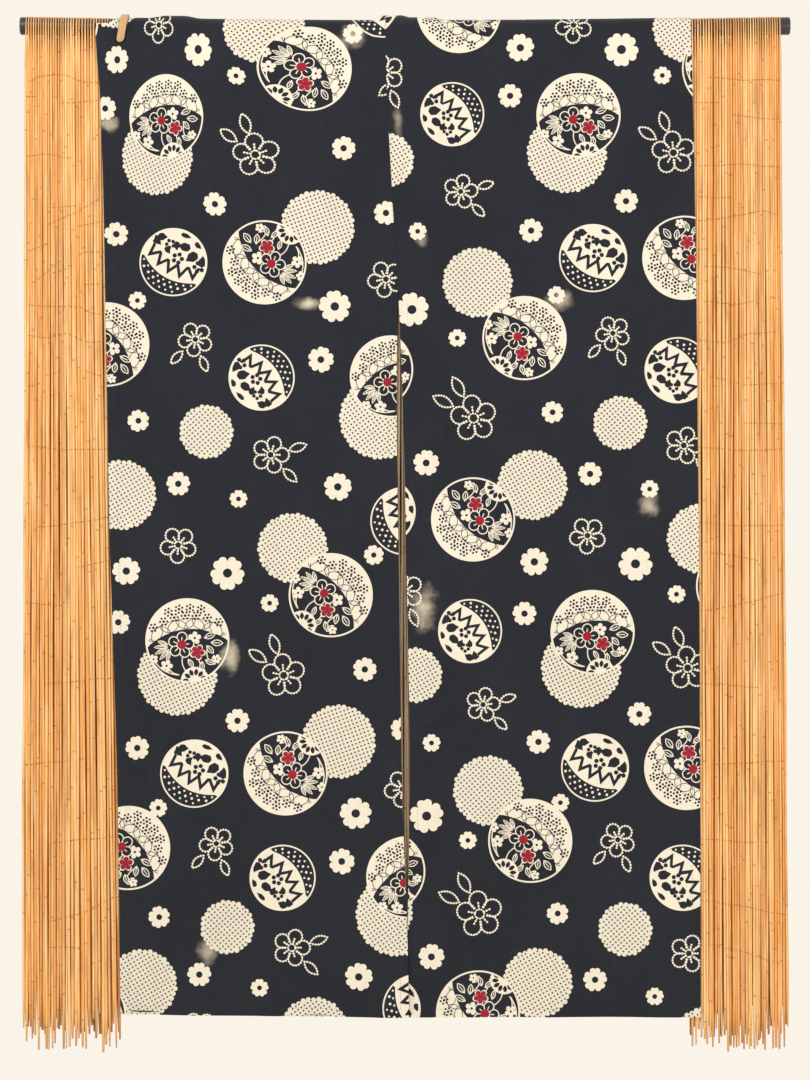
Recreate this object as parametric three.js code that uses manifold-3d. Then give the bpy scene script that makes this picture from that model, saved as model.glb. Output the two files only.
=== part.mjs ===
// A two-panel noren laid over a round rod, with a screen of split reeds over the rod at each
// side and a short reed strip behind the slit. A bent wooden clip holds the cloth's left corner.
// Millimetres, +X to the right, +Z up, the front faces -Y. The origin is on the rod's axis,
// midway between its ends.

import * as THREE from 'three';
import { mergeVertices } from 'three/addons/utils/BufferGeometryUtils.js';
import Module from 'manifold-3d';

const wasm = await Module();
wasm.setup();

const { clamp, degToRad, lerp, smoothstep } = THREE.MathUtils;

// The rod bows down a little at its middle under the cloth and the reeds.
const ROD_LENGTH = 1124;
const ROD_RADIUS = 13;
const ROD_SAG = 6.3;
const ROD_RIM = 2.5;
const ROD_RIM_STEPS = 2;
const ROD_SIDES = 24;
const ROD_BAYS = 8;

// The cloth is one layer, turned over the rod, with a short heading down the back.
const CLOTH_THICKNESS = 1.2;
const CLOTH_GAP = 1;
const CLOTH_RADIUS = ROD_RADIUS + CLOTH_GAP + CLOTH_THICKNESS / 2;
const HEADING_DROP = 45;
const HEADING_ROWS = 2;
const TURN_ROWS = 8;
const SHOULDER_DROP = 25;
const FRONT_ROWS = 18;
const SEAM_GAP = 0.6;

// The left corner of the heading has slipped to the front of the rod.
const CORNER_TOP = 2;
const CORNER_SLIPPED_UNTIL = -432;
const CORNER_LAID_FROM = -323;
const ROW_SQUEEZE = 2;

// Edges of the two panels, a row for each height: outer edges, and both sides of seam and slit.
const EDGE_ROWS = [
  { z: 14, left: -452, seamLeft: -28.4, seamRight: -28.4, right: 416 },
  { z: -42, left: -449, seamLeft: -28.4, seamRight: -28.4, right: 417 },
  { z: -108, left: -444, seamLeft: -26.2, seamRight: -26.2, right: 419 },
  { z: -254, left: -439, seamLeft: -18.4, seamRight: -18.4, right: 422 },
  { z: -391, left: -436.5, seamLeft: -10.6, seamRight: -10.2, right: 424 },
  { z: -496, left: -434.5, seamLeft: -12, seamRight: -5.3, right: 425 },
  { z: -634, left: -432, seamLeft: -11.6, seamRight: -0.8, right: 426.5 },
  { z: -780, left: -429, seamLeft: -9.2, seamRight: 2, right: 428 },
  { z: -1092, left: -419, seamLeft: -4.8, seamRight: 7.2, right: 429.5 },
  { z: -1334, left: -415.5, seamLeft: 3.6, seamRight: 3, right: 430 },
  { z: -1446, left: -414, seamLeft: 6, seamRight: -1, right: 430.5 },
];
const SEAM_END = -391;
const HEM_LEFT = -1441;
const HEM_RIGHT = -1445.5;
const HEM_FALL_ENDS = -10;

// What lies under the cloth lifts it off the rod: reeds, a crumple and the seam. Each rise is
// given over the rod and where the cloth hangs, and it may reach further along at the hem.
const CLOTH_RISES = [
  { from: -470, to: -429, toAtHem: -411, overRod: 3.4, hanging: 3.4, shoulder: 16 },
  { from: -348, to: -322, toAtHem: -316, overRod: 3.6, hanging: 2.4, shoulder: 26 },
  { from: -33, to: -8, toAtHem: -8, overRod: 6.6, hanging: 4.4, shoulder: 16 },
  { from: 8, to: 42, toAtHem: 42, overRod: 4, hanging: 4, shoulder: 18 },
  { from: 405, to: 440, toAtHem: 440, overRod: 0, hanging: 3.6, shoulder: 18 },
];
const HANGING_FROM = -60;

// Soft folds, forward positive, at a fraction across the panel, at three heights.
const FOLD_HEIGHTS = { start: -20, high: -200, middle: -750, hem: -1445 };
const LEFT_FOLDS = [
  { at: 0.13, spread: 0.05, high: -4.5, middle: -1, hem: 0 },
  { at: 0.28, spread: 0.12, high: 2.5, middle: 3, hem: 6 },
  { at: 0.52, spread: 0.035, high: 1.6, middle: 2.2, hem: 2.6 },
  { at: 0.68, spread: 0.11, high: -0.5, middle: -1.5, hem: -3.5 },
  { at: 0.9, spread: 0.08, high: 1.5, middle: 2.5, hem: 4.5 },
];
const RIGHT_FOLDS = [
  { at: 0.2, spread: 0.08, high: -1, middle: 1.5, hem: 3 },
  { at: 0.34, spread: 0.09, high: 1, middle: -1, hem: -3 },
  { at: 0.495, spread: 0.035, high: 1.6, middle: 2.2, hem: 2.6 },
  { at: 0.68, spread: 0.12, high: -1.5, middle: -2, hem: -4.5 },
  { at: 0.88, spread: 0.07, high: 1.5, middle: 2, hem: 4 },
];
const SEAM_HOLD_WIDTH = 40;
const SEAM_HOLD_FADES = -760;
const SLIT_LAP = { from: -900, width: 30, forward: 2 };

// Columns of the cloth's mesh, as fractions across a panel, closest at the slipped corner.
const LEFT_COLUMNS = [0, 0.024, 0.047, 0.067, 0.087, 0.107, 0.127, 0.147, 0.17, 0.2, 0.24, 0.29, 0.35,
  0.42, 0.48, 0.52, 0.56, 0.62, 0.69, 0.76, 0.83, 0.9, 0.95, 1];
const RIGHT_COLUMNS = [0, 0.04, 0.08, 0.13, 0.18, 0.24, 0.3, 0.37, 0.43, 0.47, 0.495, 0.52, 0.57, 0.64,
  0.71, 0.78, 0.85, 0.91, 0.96, 1];

// Small steps, as a fraction across and a length down, that find which way the cloth faces.
const NEAR = { across: 0.002, down: 0.5 };

// Split reeds: three-sided strands, fused at their roots into a narrow strip behind the rod's top.
const REED_RADIUS = 1.3;
const REED_SIDES = 3;
const REED_GAP = 0.4;
const REED_TURN_STEPS = 4;
const REED_ROOT_TURN = degToRad(-66);
const REED_LEGS = {
  front: { facing: 1, turnSteps: REED_TURN_STEPS, endTurn: Math.PI / 2, stations: [0.4, 0.97, 1] },
  back: { facing: -1, turnSteps: 1, endTurn: -Math.PI / 2, stations: [0.5, 0.97, 1] },
};
const REED_TIP_WIDTH = 0.45;
const REED_TIP_MEAN = 0.35;
const REED_BELLY = { depth: 0.5, waves: 5 };
const REED_DRIFTS = [
  { width: 0.9, alongX: 23, alongZ: 330 },
  { width: 0.3, alongX: 9.5, alongZ: -190 },
];
const REED_FREE_FROM = 0.3;
const STRIP_THICKNESS = 2.4;
const STRIP_FROM = degToRad(-52);
const STRIP_TO = degToRad(-80);
const STRIP_STEPS = 3;
const STRIP_OVERHANG = 1.5;
const STRIP_BAYS = 4;

// Reed groups: where the strands cross the rod, and how far apart, and where their tips hang.
const REED_GROUPS = [
  {
    name: 'reed_screen_left',
    front: [{ from: -552, to: -487, pitch: 3.1 }, { from: -483, to: -432, pitch: 5 }],
    back: [{ from: -551, to: -432, pitch: 3.6 }],
    tips: { from: -555, to: -416, z: -1494, uneven: 22 },
  },
  {
    name: 'reed_strip_middle',
    front: [{ from: -24, to: 36, pitch: 4.4 }],
    back: [{ from: -24, to: 36, pitch: 3.6 }],
    tips: { from: -26, to: 34, z: -1410, uneven: 26 },
  },
  {
    name: 'reed_screen_right',
    front: [{ from: 418.5, to: 478, pitch: 5 }, { from: 482.5, to: 546, pitch: 3.1 }],
    back: [{ from: 418.5, to: 546, pitch: 3.6 }],
    tips: { from: 418, to: 556, z: -1494, uneven: 22 },
  },
];

// The bent wooden clip that grips the cloth's left corner on the rod.
const CLIP_WIDTH = 11;
const CLIP_THICKNESS = 2.4;
const CLIP_X = -411.4;
const CLIP_TILT = degToRad(9.5);
const CLIP_FRONT_DROP = 23;
const CLIP_BACK_DROP = 16;
const CLIP_GAP = 0.5;
const CLIP_TURN_STEPS = 10;
const CLIP_END_STEPS = 4;
const CLIP_END_FLAT = 0.35;
const CLIP_SEAT_X = CLIP_X - 0.75 * CLIP_WIDTH;

const CLOTH_COLOUR = 0x24262e;
const REED_COLOUR = 0xd9a566;
const ROD_COLOUR = 0x15130f;
const CLIP_COLOUR = 0xdcb57c;

/** Numbers from one value to another in equal steps, both ends among them. */
function evenly(steps, from, to) {
  return Array.from({ length: steps + 1 }, (_, i) => lerp(from, to, i / steps));
}

/** How far the rod's axis lies below its ends at x. */
function rodDrop(x) {
  return -ROD_SAG * Math.cos((Math.PI * x) / ROD_LENGTH);
}

/** A steady number from 0 to 1 for a strand, so that no two neighbours are alike. */
function chance(seed) {
  const scrambled = Math.sin(seed * 12.9898) * 43758.5453;
  return scrambled - Math.floor(scrambled);
}

/** A point on a line laid over the rod: s runs from the top, positive down the front. */
function drapeOver(s, radius) {
  const quarter = (radius * Math.PI) / 2;
  const turn = clamp(s, -quarter, quarter) / radius;
  const hanging = Math.max(0, Math.abs(s) - quarter);
  return { y: -radius * Math.sin(turn), z: radius * Math.cos(turn) - hanging };
}

/** One edge of a panel at height z, on a smooth line through the rows of EDGE_ROWS. */
function edgeAt(edge, z) {
  const last = EDGE_ROWS.length - 1;
  const height = clamp(z, EDGE_ROWS[last].z, EDGE_ROWS[0].z);
  const i = Math.max(EDGE_ROWS.findIndex((row) => row.z <= height) - 1, 0);
  const slope = (k) => {
    const before = EDGE_ROWS[Math.max(k - 1, 0)];
    const after = EDGE_ROWS[Math.min(k + 1, last)];
    return (after[edge] - before[edge]) / (after.z - before.z);
  };
  const [a, b] = [EDGE_ROWS[i], EDGE_ROWS[i + 1]];
  const span = b.z - a.z;
  const t = (height - a.z) / span;
  return a[edge] * (1 + 2 * t) * (1 - t) ** 2 + slope(i) * span * t * (1 - t) ** 2
    + b[edge] * t * t * (3 - 2 * t) + slope(i + 1) * span * t * t * (t - 1);
}

/** The radius at which the cloth's middle layer passes over the rod at x, or hangs at height z. */
function clothRadius(x, z = 0) {
  let radius = CLOTH_RADIUS;
  const hangs = smoothstep(-z, 0, -HANGING_FROM);
  for (const { from, to, toAtHem, overRod, hanging, shoulder } of CLOTH_RISES) {
    const end = lerp(to, toAtHem, smoothstep(-z, 0, -HEM_RIGHT));
    const rise = lerp(overRod, hanging, hangs);
    radius += rise * smoothstep(x, from - shoulder, from) * (1 - smoothstep(x, end, end + shoulder));
  }
  return radius;
}

/** Depth of one fold at height z, from its three stated heights. */
function foldDepth(fold, z) {
  const { start, high, middle, hem } = FOLD_HEIGHTS;
  const grown = smoothstep(-z, -start, -high);
  const upper = lerp(fold.high, fold.middle, clamp((high - z) / (high - middle), 0, 1));
  return grown * lerp(upper, fold.hem, clamp((middle - z) / (middle - hem), 0, 1));
}

/** How far a panel's front stands forward of a plain hang, at a fraction across and height z. */
function panelRelief(panel, across, x, z) {
  let relief = 0;
  for (const fold of panel.folds) {
    relief += foldDepth(fold, z) * Math.exp(-(((across - fold.at) / fold.spread) ** 2));
  }
  const fromSeam = Math.abs(x - edgeAt(panel.seamEdge, z));
  const sewn = 1 - smoothstep(-z, -SEAM_END, -SEAM_HOLD_FADES);
  const held = sewn * Math.exp(-((fromSeam / SEAM_HOLD_WIDTH) ** 2));
  const lap = panel.lap * SLIT_LAP.forward * smoothstep(-z, -SLIT_LAP.from, -HEM_RIGHT);
  return relief * (1 - held) + lap * Math.exp(-((fromSeam / SLIT_LAP.width) ** 2));
}

/** The hem's height at x: it falls slightly from the left edge to the slit. */
function hemAt(x) {
  return lerp(HEM_LEFT, HEM_RIGHT, smoothstep(x, EDGE_ROWS[0].left, HEM_FALL_ENDS));
}

/** A point of a panel's middle layer, at a fraction across and a length s from the rod's top. */
function panelPoint(panel, across, s) {
  const roughZ = drapeOver(s, CLOTH_RADIUS).z;
  const edgeZ = s < 0 ? EDGE_ROWS[0].z : roughZ;
  const left = edgeAt(panel.leftEdge, edgeZ) + panel.seamGap.left;
  const right = edgeAt(panel.rightEdge, edgeZ) - panel.seamGap.right;
  const x = lerp(left, right, across);
  const point = drapeOver(s, clothRadius(x, roughZ));
  const z = point.z + rodDrop(x);
  const relief = s > 0 ? panelRelief(panel, across, x, z) : 0;
  return new THREE.Vector3(x, point.y - relief, z);
}

/** Where the cloth ends on the heading's side at x: down the back, or slipped to the front. */
function headingEnd(x) {
  const radius = clothRadius(x);
  const laid = -(radius * Math.PI) / 2 - HEADING_DROP;
  const slipped = radius * Math.acos((CORNER_TOP - rodDrop(x)) / radius);
  const slip = (x - CORNER_SLIPPED_UNTIL) / (CORNER_LAID_FROM - CORNER_SLIPPED_UNTIL);
  return lerp(slipped, laid, clamp(slip, 0, 1));
}

/** Lengths along the cloth at which a column has its rows, from the heading's end to the hem. */
function rowLengths(x) {
  const quarter = (clothRadius(x) * Math.PI) / 2;
  const shoulder = quarter + SHOULDER_DROP;
  const heading = evenly(HEADING_ROWS, -quarter - HEADING_DROP, -quarter).slice(0, -1);
  const plain = [...heading, ...evenly(TURN_ROWS, -quarter, quarter)];
  const end = headingEnd(x);
  const laid = plain.map((s, i) => Math.max(s, end + ROW_SQUEEZE * i));
  const hem = quarter + rodDrop(x) - hemAt(x);
  return [...laid, ...evenly(FRONT_ROWS, shoulder, hem)];
}

/** Closes a geometry's seams so that only positions and shared corners are left. */
function weld(geometry) {
  geometry.deleteAttribute('normal');
  geometry.deleteAttribute('uv');
  return mergeVertices(geometry, 1e-5);
}

/** One cloth panel: a flat board of columns and rows, wrapped onto the hanging surface. */
function makePanel(panel) {
  const { columns } = panel;
  const topZ = EDGE_ROWS[0].z;
  const rowsOf = columns.map((across) => rowLengths(
    lerp(edgeAt(panel.leftEdge, topZ), edgeAt(panel.rightEdge, topZ), across),
  ));
  const rowCount = rowsOf[0].length;
  const board = weld(new THREE.BoxGeometry(columns.length - 1, rowCount - 1, 1,
    columns.length - 1, rowCount - 1, 1));
  const position = board.getAttribute('position');
  for (let i = 0; i < position.count; i += 1) {
    const column = Math.round(position.getX(i) + (columns.length - 1) / 2);
    const row = Math.round((rowCount - 1) / 2 - position.getY(i));
    const across = columns[column];
    const s = rowsOf[column][row];
    const point = panelPoint(panel, across, s);
    const alongX = panelPoint(panel, across + NEAR.across, s).sub(panelPoint(panel, across - NEAR.across, s));
    const alongS = panelPoint(panel, across, s + NEAR.down).sub(panelPoint(panel, across, s - NEAR.down));
    const outward = alongX.cross(alongS).normalize().negate();
    const side = Math.sign(position.getZ(i)) * (CLOTH_THICKNESS / 2);
    point.addScaledVector(outward, side);
    position.setXYZ(i, point.x, point.y, point.z);
  }
  return board;
}

/** The rod: a turned bar with rounded rims, bowed by its load. */
function makeRod() {
  const half = ROD_LENGTH / 2;
  const rim = evenly(ROD_RIM_STEPS, 0, Math.PI / 2).map((turn) => ({
    radius: ROD_RADIUS - ROD_RIM * (1 - Math.sin(turn)),
    fromEnd: ROD_RIM * (1 - Math.cos(turn)),
  }));
  const profile = [
    new THREE.Vector2(0, -half),
    ...rim.map(({ radius, fromEnd }) => new THREE.Vector2(radius, fromEnd - half)),
    ...evenly(ROD_BAYS, -half, half).slice(1, -1).map((x) => new THREE.Vector2(ROD_RADIUS, x)),
    ...rim.reverse().map(({ radius, fromEnd }) => new THREE.Vector2(radius, half - fromEnd)),
    new THREE.Vector2(0, half),
  ];
  const rod = weld(new THREE.LatheGeometry(profile, ROD_SIDES).rotateZ(-Math.PI / 2));
  const position = rod.getAttribute('position');
  for (let i = 0; i < position.count; i += 1) {
    position.setZ(i, position.getZ(i) + rodDrop(position.getX(i)));
  }
  return rod;
}

/** A strand along stations of { x, y, z } with a half-width each; its ridge faces away from the rod. */
function makeStrand(stations, facing) {
  const bays = stations.length - 1;
  const strand = weld(new THREE.CylinderGeometry(1, 1, bays, REED_SIDES, bays));
  const position = strand.getAttribute('position');
  for (let i = 0; i < position.count; i += 1) {
    const k = Math.round(bays / 2 - position.getY(i));
    const here = stations[k];
    const before = stations[Math.max(k - 1, 0)];
    const after = stations[Math.min(k + 1, bays)];
    const length = Math.hypot(after.y - before.y, after.z - before.z);
    const alongY = (after.y - before.y) / length;
    const alongZ = (after.z - before.z) / length;
    const across = facing * position.getX(i) * here.halfWidth;
    const out = facing * position.getZ(i) * here.halfWidth;
    position.setXYZ(i, here.x + across, here.y + out * alongZ, here.z - out * alongY);
  }
  return strand;
}

/** Sideways drift of the reeds, alike for close neighbours so that strands never cross. */
function reedDrift(x, z) {
  return REED_DRIFTS.reduce((sum, wave) => sum + wave.width * Math.sin(x / wave.alongX + z / wave.alongZ), 0);
}

/** Stations of one reed from its root in the strip to its tip, down the front or the back. */
function reedStations(group, x, side, seed) {
  const turnStep = (Math.PI / 2 - REED_ROOT_TURN) / REED_TURN_STEPS;
  const seat = REED_RADIUS / 2;
  const radius = (ROD_RADIUS + REED_GAP + seat) / Math.cos(turnStep / 2);
  const leg = REED_LEGS[side];
  const across = (x - group[side].at(0).from) / (group[side].at(-1).to - group[side].at(0).from);
  const tipX = lerp(group.tips.from, group.tips.to, across);
  const tipZ = group.tips.z + (chance(seed) - REED_TIP_MEAN) * group.tips.uneven;
  const bent = evenly(leg.turnSteps, REED_ROOT_TURN, leg.endTurn).map((turn) => {
    const { y, z } = drapeOver(radius * turn, radius);
    return { x, y, z: z + rodDrop(x), halfWidth: REED_RADIUS };
  });
  const hanging = leg.stations.map((fraction) => {
    const z = lerp(rodDrop(x), tipZ, fraction);
    const drift = reedDrift(x, z) * smoothstep(fraction, 0, REED_FREE_FROM);
    const belly = REED_BELLY.depth * Math.sin(fraction * REED_BELLY.waves + seed) * fraction;
    const halfWidth = fraction === 1 ? REED_RADIUS * REED_TIP_WIDTH : REED_RADIUS;
    return { x: lerp(x, tipX, fraction) + drift, y: -leg.facing * (radius + belly), z, halfWidth };
  });
  return [...bent, ...hanging];
}

/** The narrow strip that the reeds' roots are fused into, along the rod's upper back. */
function makeStrip(from, to) {
  const inner = (ROD_RADIUS + REED_GAP) / Math.cos((STRIP_FROM - STRIP_TO) / STRIP_STEPS / 2);
  const arc = (radius, start, end) => evenly(STRIP_STEPS, start, end)
    .map((turn) => new THREE.Vector2(-radius * Math.sin(turn), radius * Math.cos(turn)));
  const outline = new THREE.Shape([
    ...arc(inner, STRIP_FROM, STRIP_TO),
    ...arc(inner + STRIP_THICKNESS, STRIP_TO, STRIP_FROM),
  ]);
  const extrusion = { depth: to - from, steps: STRIP_BAYS, bevelEnabled: false };
  const strip = weld(new THREE.ExtrudeGeometry(outline, extrusion));
  const position = strip.getAttribute('position');
  for (let i = 0; i < position.count; i += 1) {
    const x = from + position.getZ(i);
    position.setXYZ(i, x, position.getX(i), position.getY(i) + rodDrop(x));
  }
  return strip;
}

/** A closed geometry as a solid that can be joined. */
function toSolid(geometry) {
  return new wasm.Manifold(new wasm.Mesh({
    numProp: 3,
    vertProperties: new Float32Array(geometry.getAttribute('position').array),
    triVerts: new Uint32Array(geometry.getIndex().array),
  }));
}

/** A joined solid back as a geometry. */
function toGeometry(solid) {
  const mesh = solid.getMesh();
  const geometry = new THREE.BufferGeometry();
  geometry.setAttribute('position', new THREE.BufferAttribute(new Float32Array(mesh.vertProperties), 3));
  geometry.setIndex(new THREE.BufferAttribute(new Uint32Array(mesh.triVerts), 1));
  return geometry;
}

/** One reed group: its strip and every strand, joined at the roots. */
function makeReeds(group) {
  const first = group.front.at(0).from;
  const last = group.front.at(-1).to;
  let reeds = toSolid(makeStrip(first - STRIP_OVERHANG, last + STRIP_OVERHANG));
  let seed = first;
  for (const side of Object.keys(REED_LEGS)) {
    for (const { from, to, pitch } of group[side]) {
      for (const x of evenly(Math.round((to - from) / pitch), from, to)) {
        seed += 1;
        const strand = makeStrand(reedStations(group, x, side, seed), REED_LEGS[side].facing);
        reeds = reeds.add(toSolid(strand));
      }
    }
  }
  return toGeometry(reeds);
}

/** The clip: a flat strip with round ends, bent over the rod outside the cloth, and tilted. */
function makeClip() {
  const radius = clothRadius(CLIP_SEAT_X) + CLOTH_THICKNESS / 2 + CLIP_GAP;
  const turnRadius = radius / Math.cos(Math.PI / CLIP_TURN_STEPS / 2) + CLIP_THICKNESS / 2;
  const quarter = (turnRadius * Math.PI) / 2;
  const start = -quarter - CLIP_BACK_DROP;
  const end = quarter + CLIP_FRONT_DROP;
  const endRadius = CLIP_WIDTH / 2;
  const roundEnd = evenly(CLIP_END_STEPS, 0, Math.PI / 2).map((turn) => endRadius * (1 - Math.cos(turn)));
  const lengths = [
    ...roundEnd.map((fromEnd) => start + fromEnd),
    ...evenly(CLIP_TURN_STEPS, -quarter, quarter),
    ...roundEnd.reverse().map((fromEnd) => end - fromEnd),
  ];
  const bays = lengths.length - 1;
  const strip = weld(new THREE.BoxGeometry(2, bays, 2, 2, bays, 1));
  const position = strip.getAttribute('position');
  for (let i = 0; i < position.count; i += 1) {
    const s = lengths[Math.round(bays / 2 - position.getY(i))];
    const inRound = Math.max(0, endRadius - Math.min(s - start, end - s));
    const halfWidth = Math.max(CLIP_END_FLAT * endRadius, Math.sqrt(endRadius ** 2 - inRound ** 2));
    const layer = drapeOver(s, turnRadius);
    const out = Math.sign(position.getZ(i)) * (CLIP_THICKNESS / 2);
    const turn = clamp(s / turnRadius, -Math.PI / 2, Math.PI / 2);
    const y = layer.y - out * Math.sin(turn);
    const z = layer.z + out * Math.cos(turn);
    const sideways = Math.sign(position.getX(i)) * halfWidth;
    const lean = Math.tan(CLIP_TILT) * z;
    position.setXYZ(i, CLIP_X + sideways + lean, y, z + rodDrop(CLIP_X));
  }
  return strip;
}

/** A named mesh with its own plain material. */
function piece(name, geometry, color, roughness, metalness = 0) {
  const mesh = new THREE.Mesh(geometry, new THREE.MeshStandardMaterial({ color, roughness, metalness }));
  mesh.name = name;
  return mesh;
}

const PANELS = [
  {
    name: 'noren_panel_left',
    leftEdge: 'left',
    rightEdge: 'seamLeft',
    seamEdge: 'seamLeft',
    seamGap: { left: 0, right: SEAM_GAP / 2 },
    folds: LEFT_FOLDS,
    columns: LEFT_COLUMNS,
    lap: 1,
  },
  {
    name: 'noren_panel_right',
    leftEdge: 'seamRight',
    rightEdge: 'right',
    seamEdge: 'seamRight',
    seamGap: { left: SEAM_GAP / 2, right: 0 },
    folds: RIGHT_FOLDS,
    columns: RIGHT_COLUMNS,
    lap: -0.5,
  },
];

const curtain = new THREE.Group();
curtain.add(piece('rod', makeRod(), ROD_COLOUR, 0.35, 0.4));
for (const panel of PANELS) {
  curtain.add(piece(panel.name, makePanel(panel), CLOTH_COLOUR, 0.85));
}
for (const group of REED_GROUPS) {
  curtain.add(piece(group.name, makeReeds(group), REED_COLOUR, 0.65));
}
curtain.add(piece('corner_clip', makeClip(), CLIP_COLOUR, 0.55));

export default curtain;
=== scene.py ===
"""The looks of a printed noren on its rod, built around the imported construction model.

Everything is in metres, +Z up, the curtain's front faces -Y, and the origin is on the rod's axis.
"""

import logging
import math
from dataclasses import dataclass, field
from enum import Enum

import bpy
import numpy as np
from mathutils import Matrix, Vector
from mathutils.geometry import delaunay_2d_cdt


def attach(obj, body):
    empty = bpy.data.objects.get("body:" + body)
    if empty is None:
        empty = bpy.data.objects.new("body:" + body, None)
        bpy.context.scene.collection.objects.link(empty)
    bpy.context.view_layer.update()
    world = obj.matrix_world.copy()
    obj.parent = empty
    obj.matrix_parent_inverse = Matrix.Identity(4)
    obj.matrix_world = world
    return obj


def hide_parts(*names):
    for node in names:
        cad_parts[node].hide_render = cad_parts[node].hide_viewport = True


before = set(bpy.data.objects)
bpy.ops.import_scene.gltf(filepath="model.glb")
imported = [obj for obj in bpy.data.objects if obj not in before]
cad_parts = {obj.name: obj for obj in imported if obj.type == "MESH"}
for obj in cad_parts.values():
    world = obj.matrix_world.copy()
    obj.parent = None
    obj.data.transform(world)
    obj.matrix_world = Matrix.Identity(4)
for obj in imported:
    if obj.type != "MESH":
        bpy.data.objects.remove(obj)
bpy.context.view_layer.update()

log = logging.getLogger("noren")

MM = 0.001
CHART_STEP = 1.46 * MM
CHART_MIDDLE = 405.0
CHART_ROD = 26.0
Points = np.ndarray


def smooth(value: Points, low: float, high: float) -> Points:
    """A soft step.

    Args:
        value: The numbers to judge.
        low: Where the step starts.
        high: Where it ends.

    Returns:
        0 up to low, 1 from high on, and a smooth rise between.
    """
    t = np.clip((np.asarray(value, float) - low) / (high - low), 0.0, 1.0)
    return t * t * (3.0 - 2.0 * t)


def bell(value: Points, width: float) -> Points:
    """A soft bump of height 1 at 0."""
    return np.exp(-((np.asarray(value, float) / width) ** 2))


@dataclass(frozen=True)
class RodShape:
    """The rod's driving sizes and the bow it takes under its load."""

    length: float = 1124 * MM
    radius: float = 13 * MM
    sag: float = 6.3 * MM
    rim: float = 2.5 * MM

    def drop(self, x: Points) -> Points:
        """How far the axis lies below the rod's ends at x, as a negative height."""
        return -self.sag * np.cos(math.pi * np.asarray(x, float) / self.length)


ROD = RodShape()


def drape_over(s: Points, radius: Points) -> tuple[Points, Points]:
    """A line laid over the rod.

    Args:
        s: Length from the rod's top, positive down the front.
        radius: Distance of the line from the rod's axis.

    Returns:
        Its y and z, with the rod's axis at zero.
    """
    quarter = radius * math.pi / 2
    turn = np.clip(s, -quarter, quarter) / radius
    hanging = np.maximum(0.0, np.abs(s) - quarter)
    return -radius * np.sin(turn), radius * np.cos(turn) - hanging


class Edge(Enum):
    """The vertical edges of the cloth panels, as columns of EDGE_ROWS."""

    LEFT = 1
    SEAM_LEFT = 2
    SEAM_RIGHT = 3
    RIGHT = 4


# Height, left edge, left and right side of seam and slit, right edge, all in millimetres.
EDGE_ROWS = np.array([
    (14, -452, -28.4, -28.4, 416),
    (-42, -449, -28.4, -28.4, 417),
    (-108, -444, -26.2, -26.2, 419),
    (-254, -439, -18.5, -18.2, 422),
    (-391, -436.5, -11, -9.8, 424),
    (-496, -434.5, -12, -5.3, 425),
    (-634, -432, -11.6, -0.8, 426.5),
    (-780, -429, -9.2, 2, 428),
    (-1092, -419, -4.8, 7.2, 429.5),
    (-1334, -415.5, 3.6, 3, 430),
    (-1446, -414, 6, -1, 430.5),
]) * MM


def edge_at(edge: Edge, z: Points) -> Points:
    """The place of one edge at height z, on a smooth line through EDGE_ROWS."""
    heights = EDGE_ROWS[:, 0]
    places = EDGE_ROWS[:, edge.value]
    last = len(heights) - 1
    before = np.maximum(np.arange(last + 1) - 1, 0)
    after = np.minimum(np.arange(last + 1) + 1, last)
    slope = (places[after] - places[before]) / (heights[after] - heights[before])
    height = np.clip(z, heights[last], heights[0])
    i = np.clip(np.searchsorted(-heights, -height, side="right") - 1, 0, last - 1)
    span = heights[i + 1] - heights[i]
    t = (height - heights[i]) / span
    return (
        places[i] * (1 + 2 * t) * (1 - t) ** 2
        + slope[i] * span * t * (1 - t) ** 2
        + places[i + 1] * t * t * (3 - 2 * t)
        + slope[i + 1] * span * t * t * (t - 1)
    )


@dataclass(frozen=True)
class Rise:
    """Something under the cloth that lifts it off the rod, in millimetres."""

    start: float
    end: float
    end_at_hem: float
    over_rod: float
    hanging: float
    shoulder: float


RISES = (
    Rise(-470, -429, -411, 3.4, 3.4, 16),
    Rise(-348, -322, -316, 3.6, 2.4, 26),
    Rise(-33, -8, -8, 6.6, 4.4, 16),
    Rise(8, 42, 42, 4.0, 4.0, 18),
    Rise(405, 440, 440, 0.0, 3.6, 18),
)


@dataclass(frozen=True)
class Fold:
    """A soft fold at a fraction across: its depth in millimetres high up, midway and at the hem."""

    at: float
    spread: float
    high: float
    middle: float
    hem: float


@dataclass(frozen=True)
class Crease:
    """A pressed line across a panel, from the folded cloth: where it runs and how strong it is."""

    height: float
    start: float
    end: float
    depth: float
    slope: float = 0.0


@dataclass(frozen=True)
class Pucker:
    """A small local ripple: its place as a fraction across and a height, its sizes and its depth."""

    at: float
    height: float
    wide: float
    tall: float
    depth: float
    waves: float = 0.0


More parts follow.
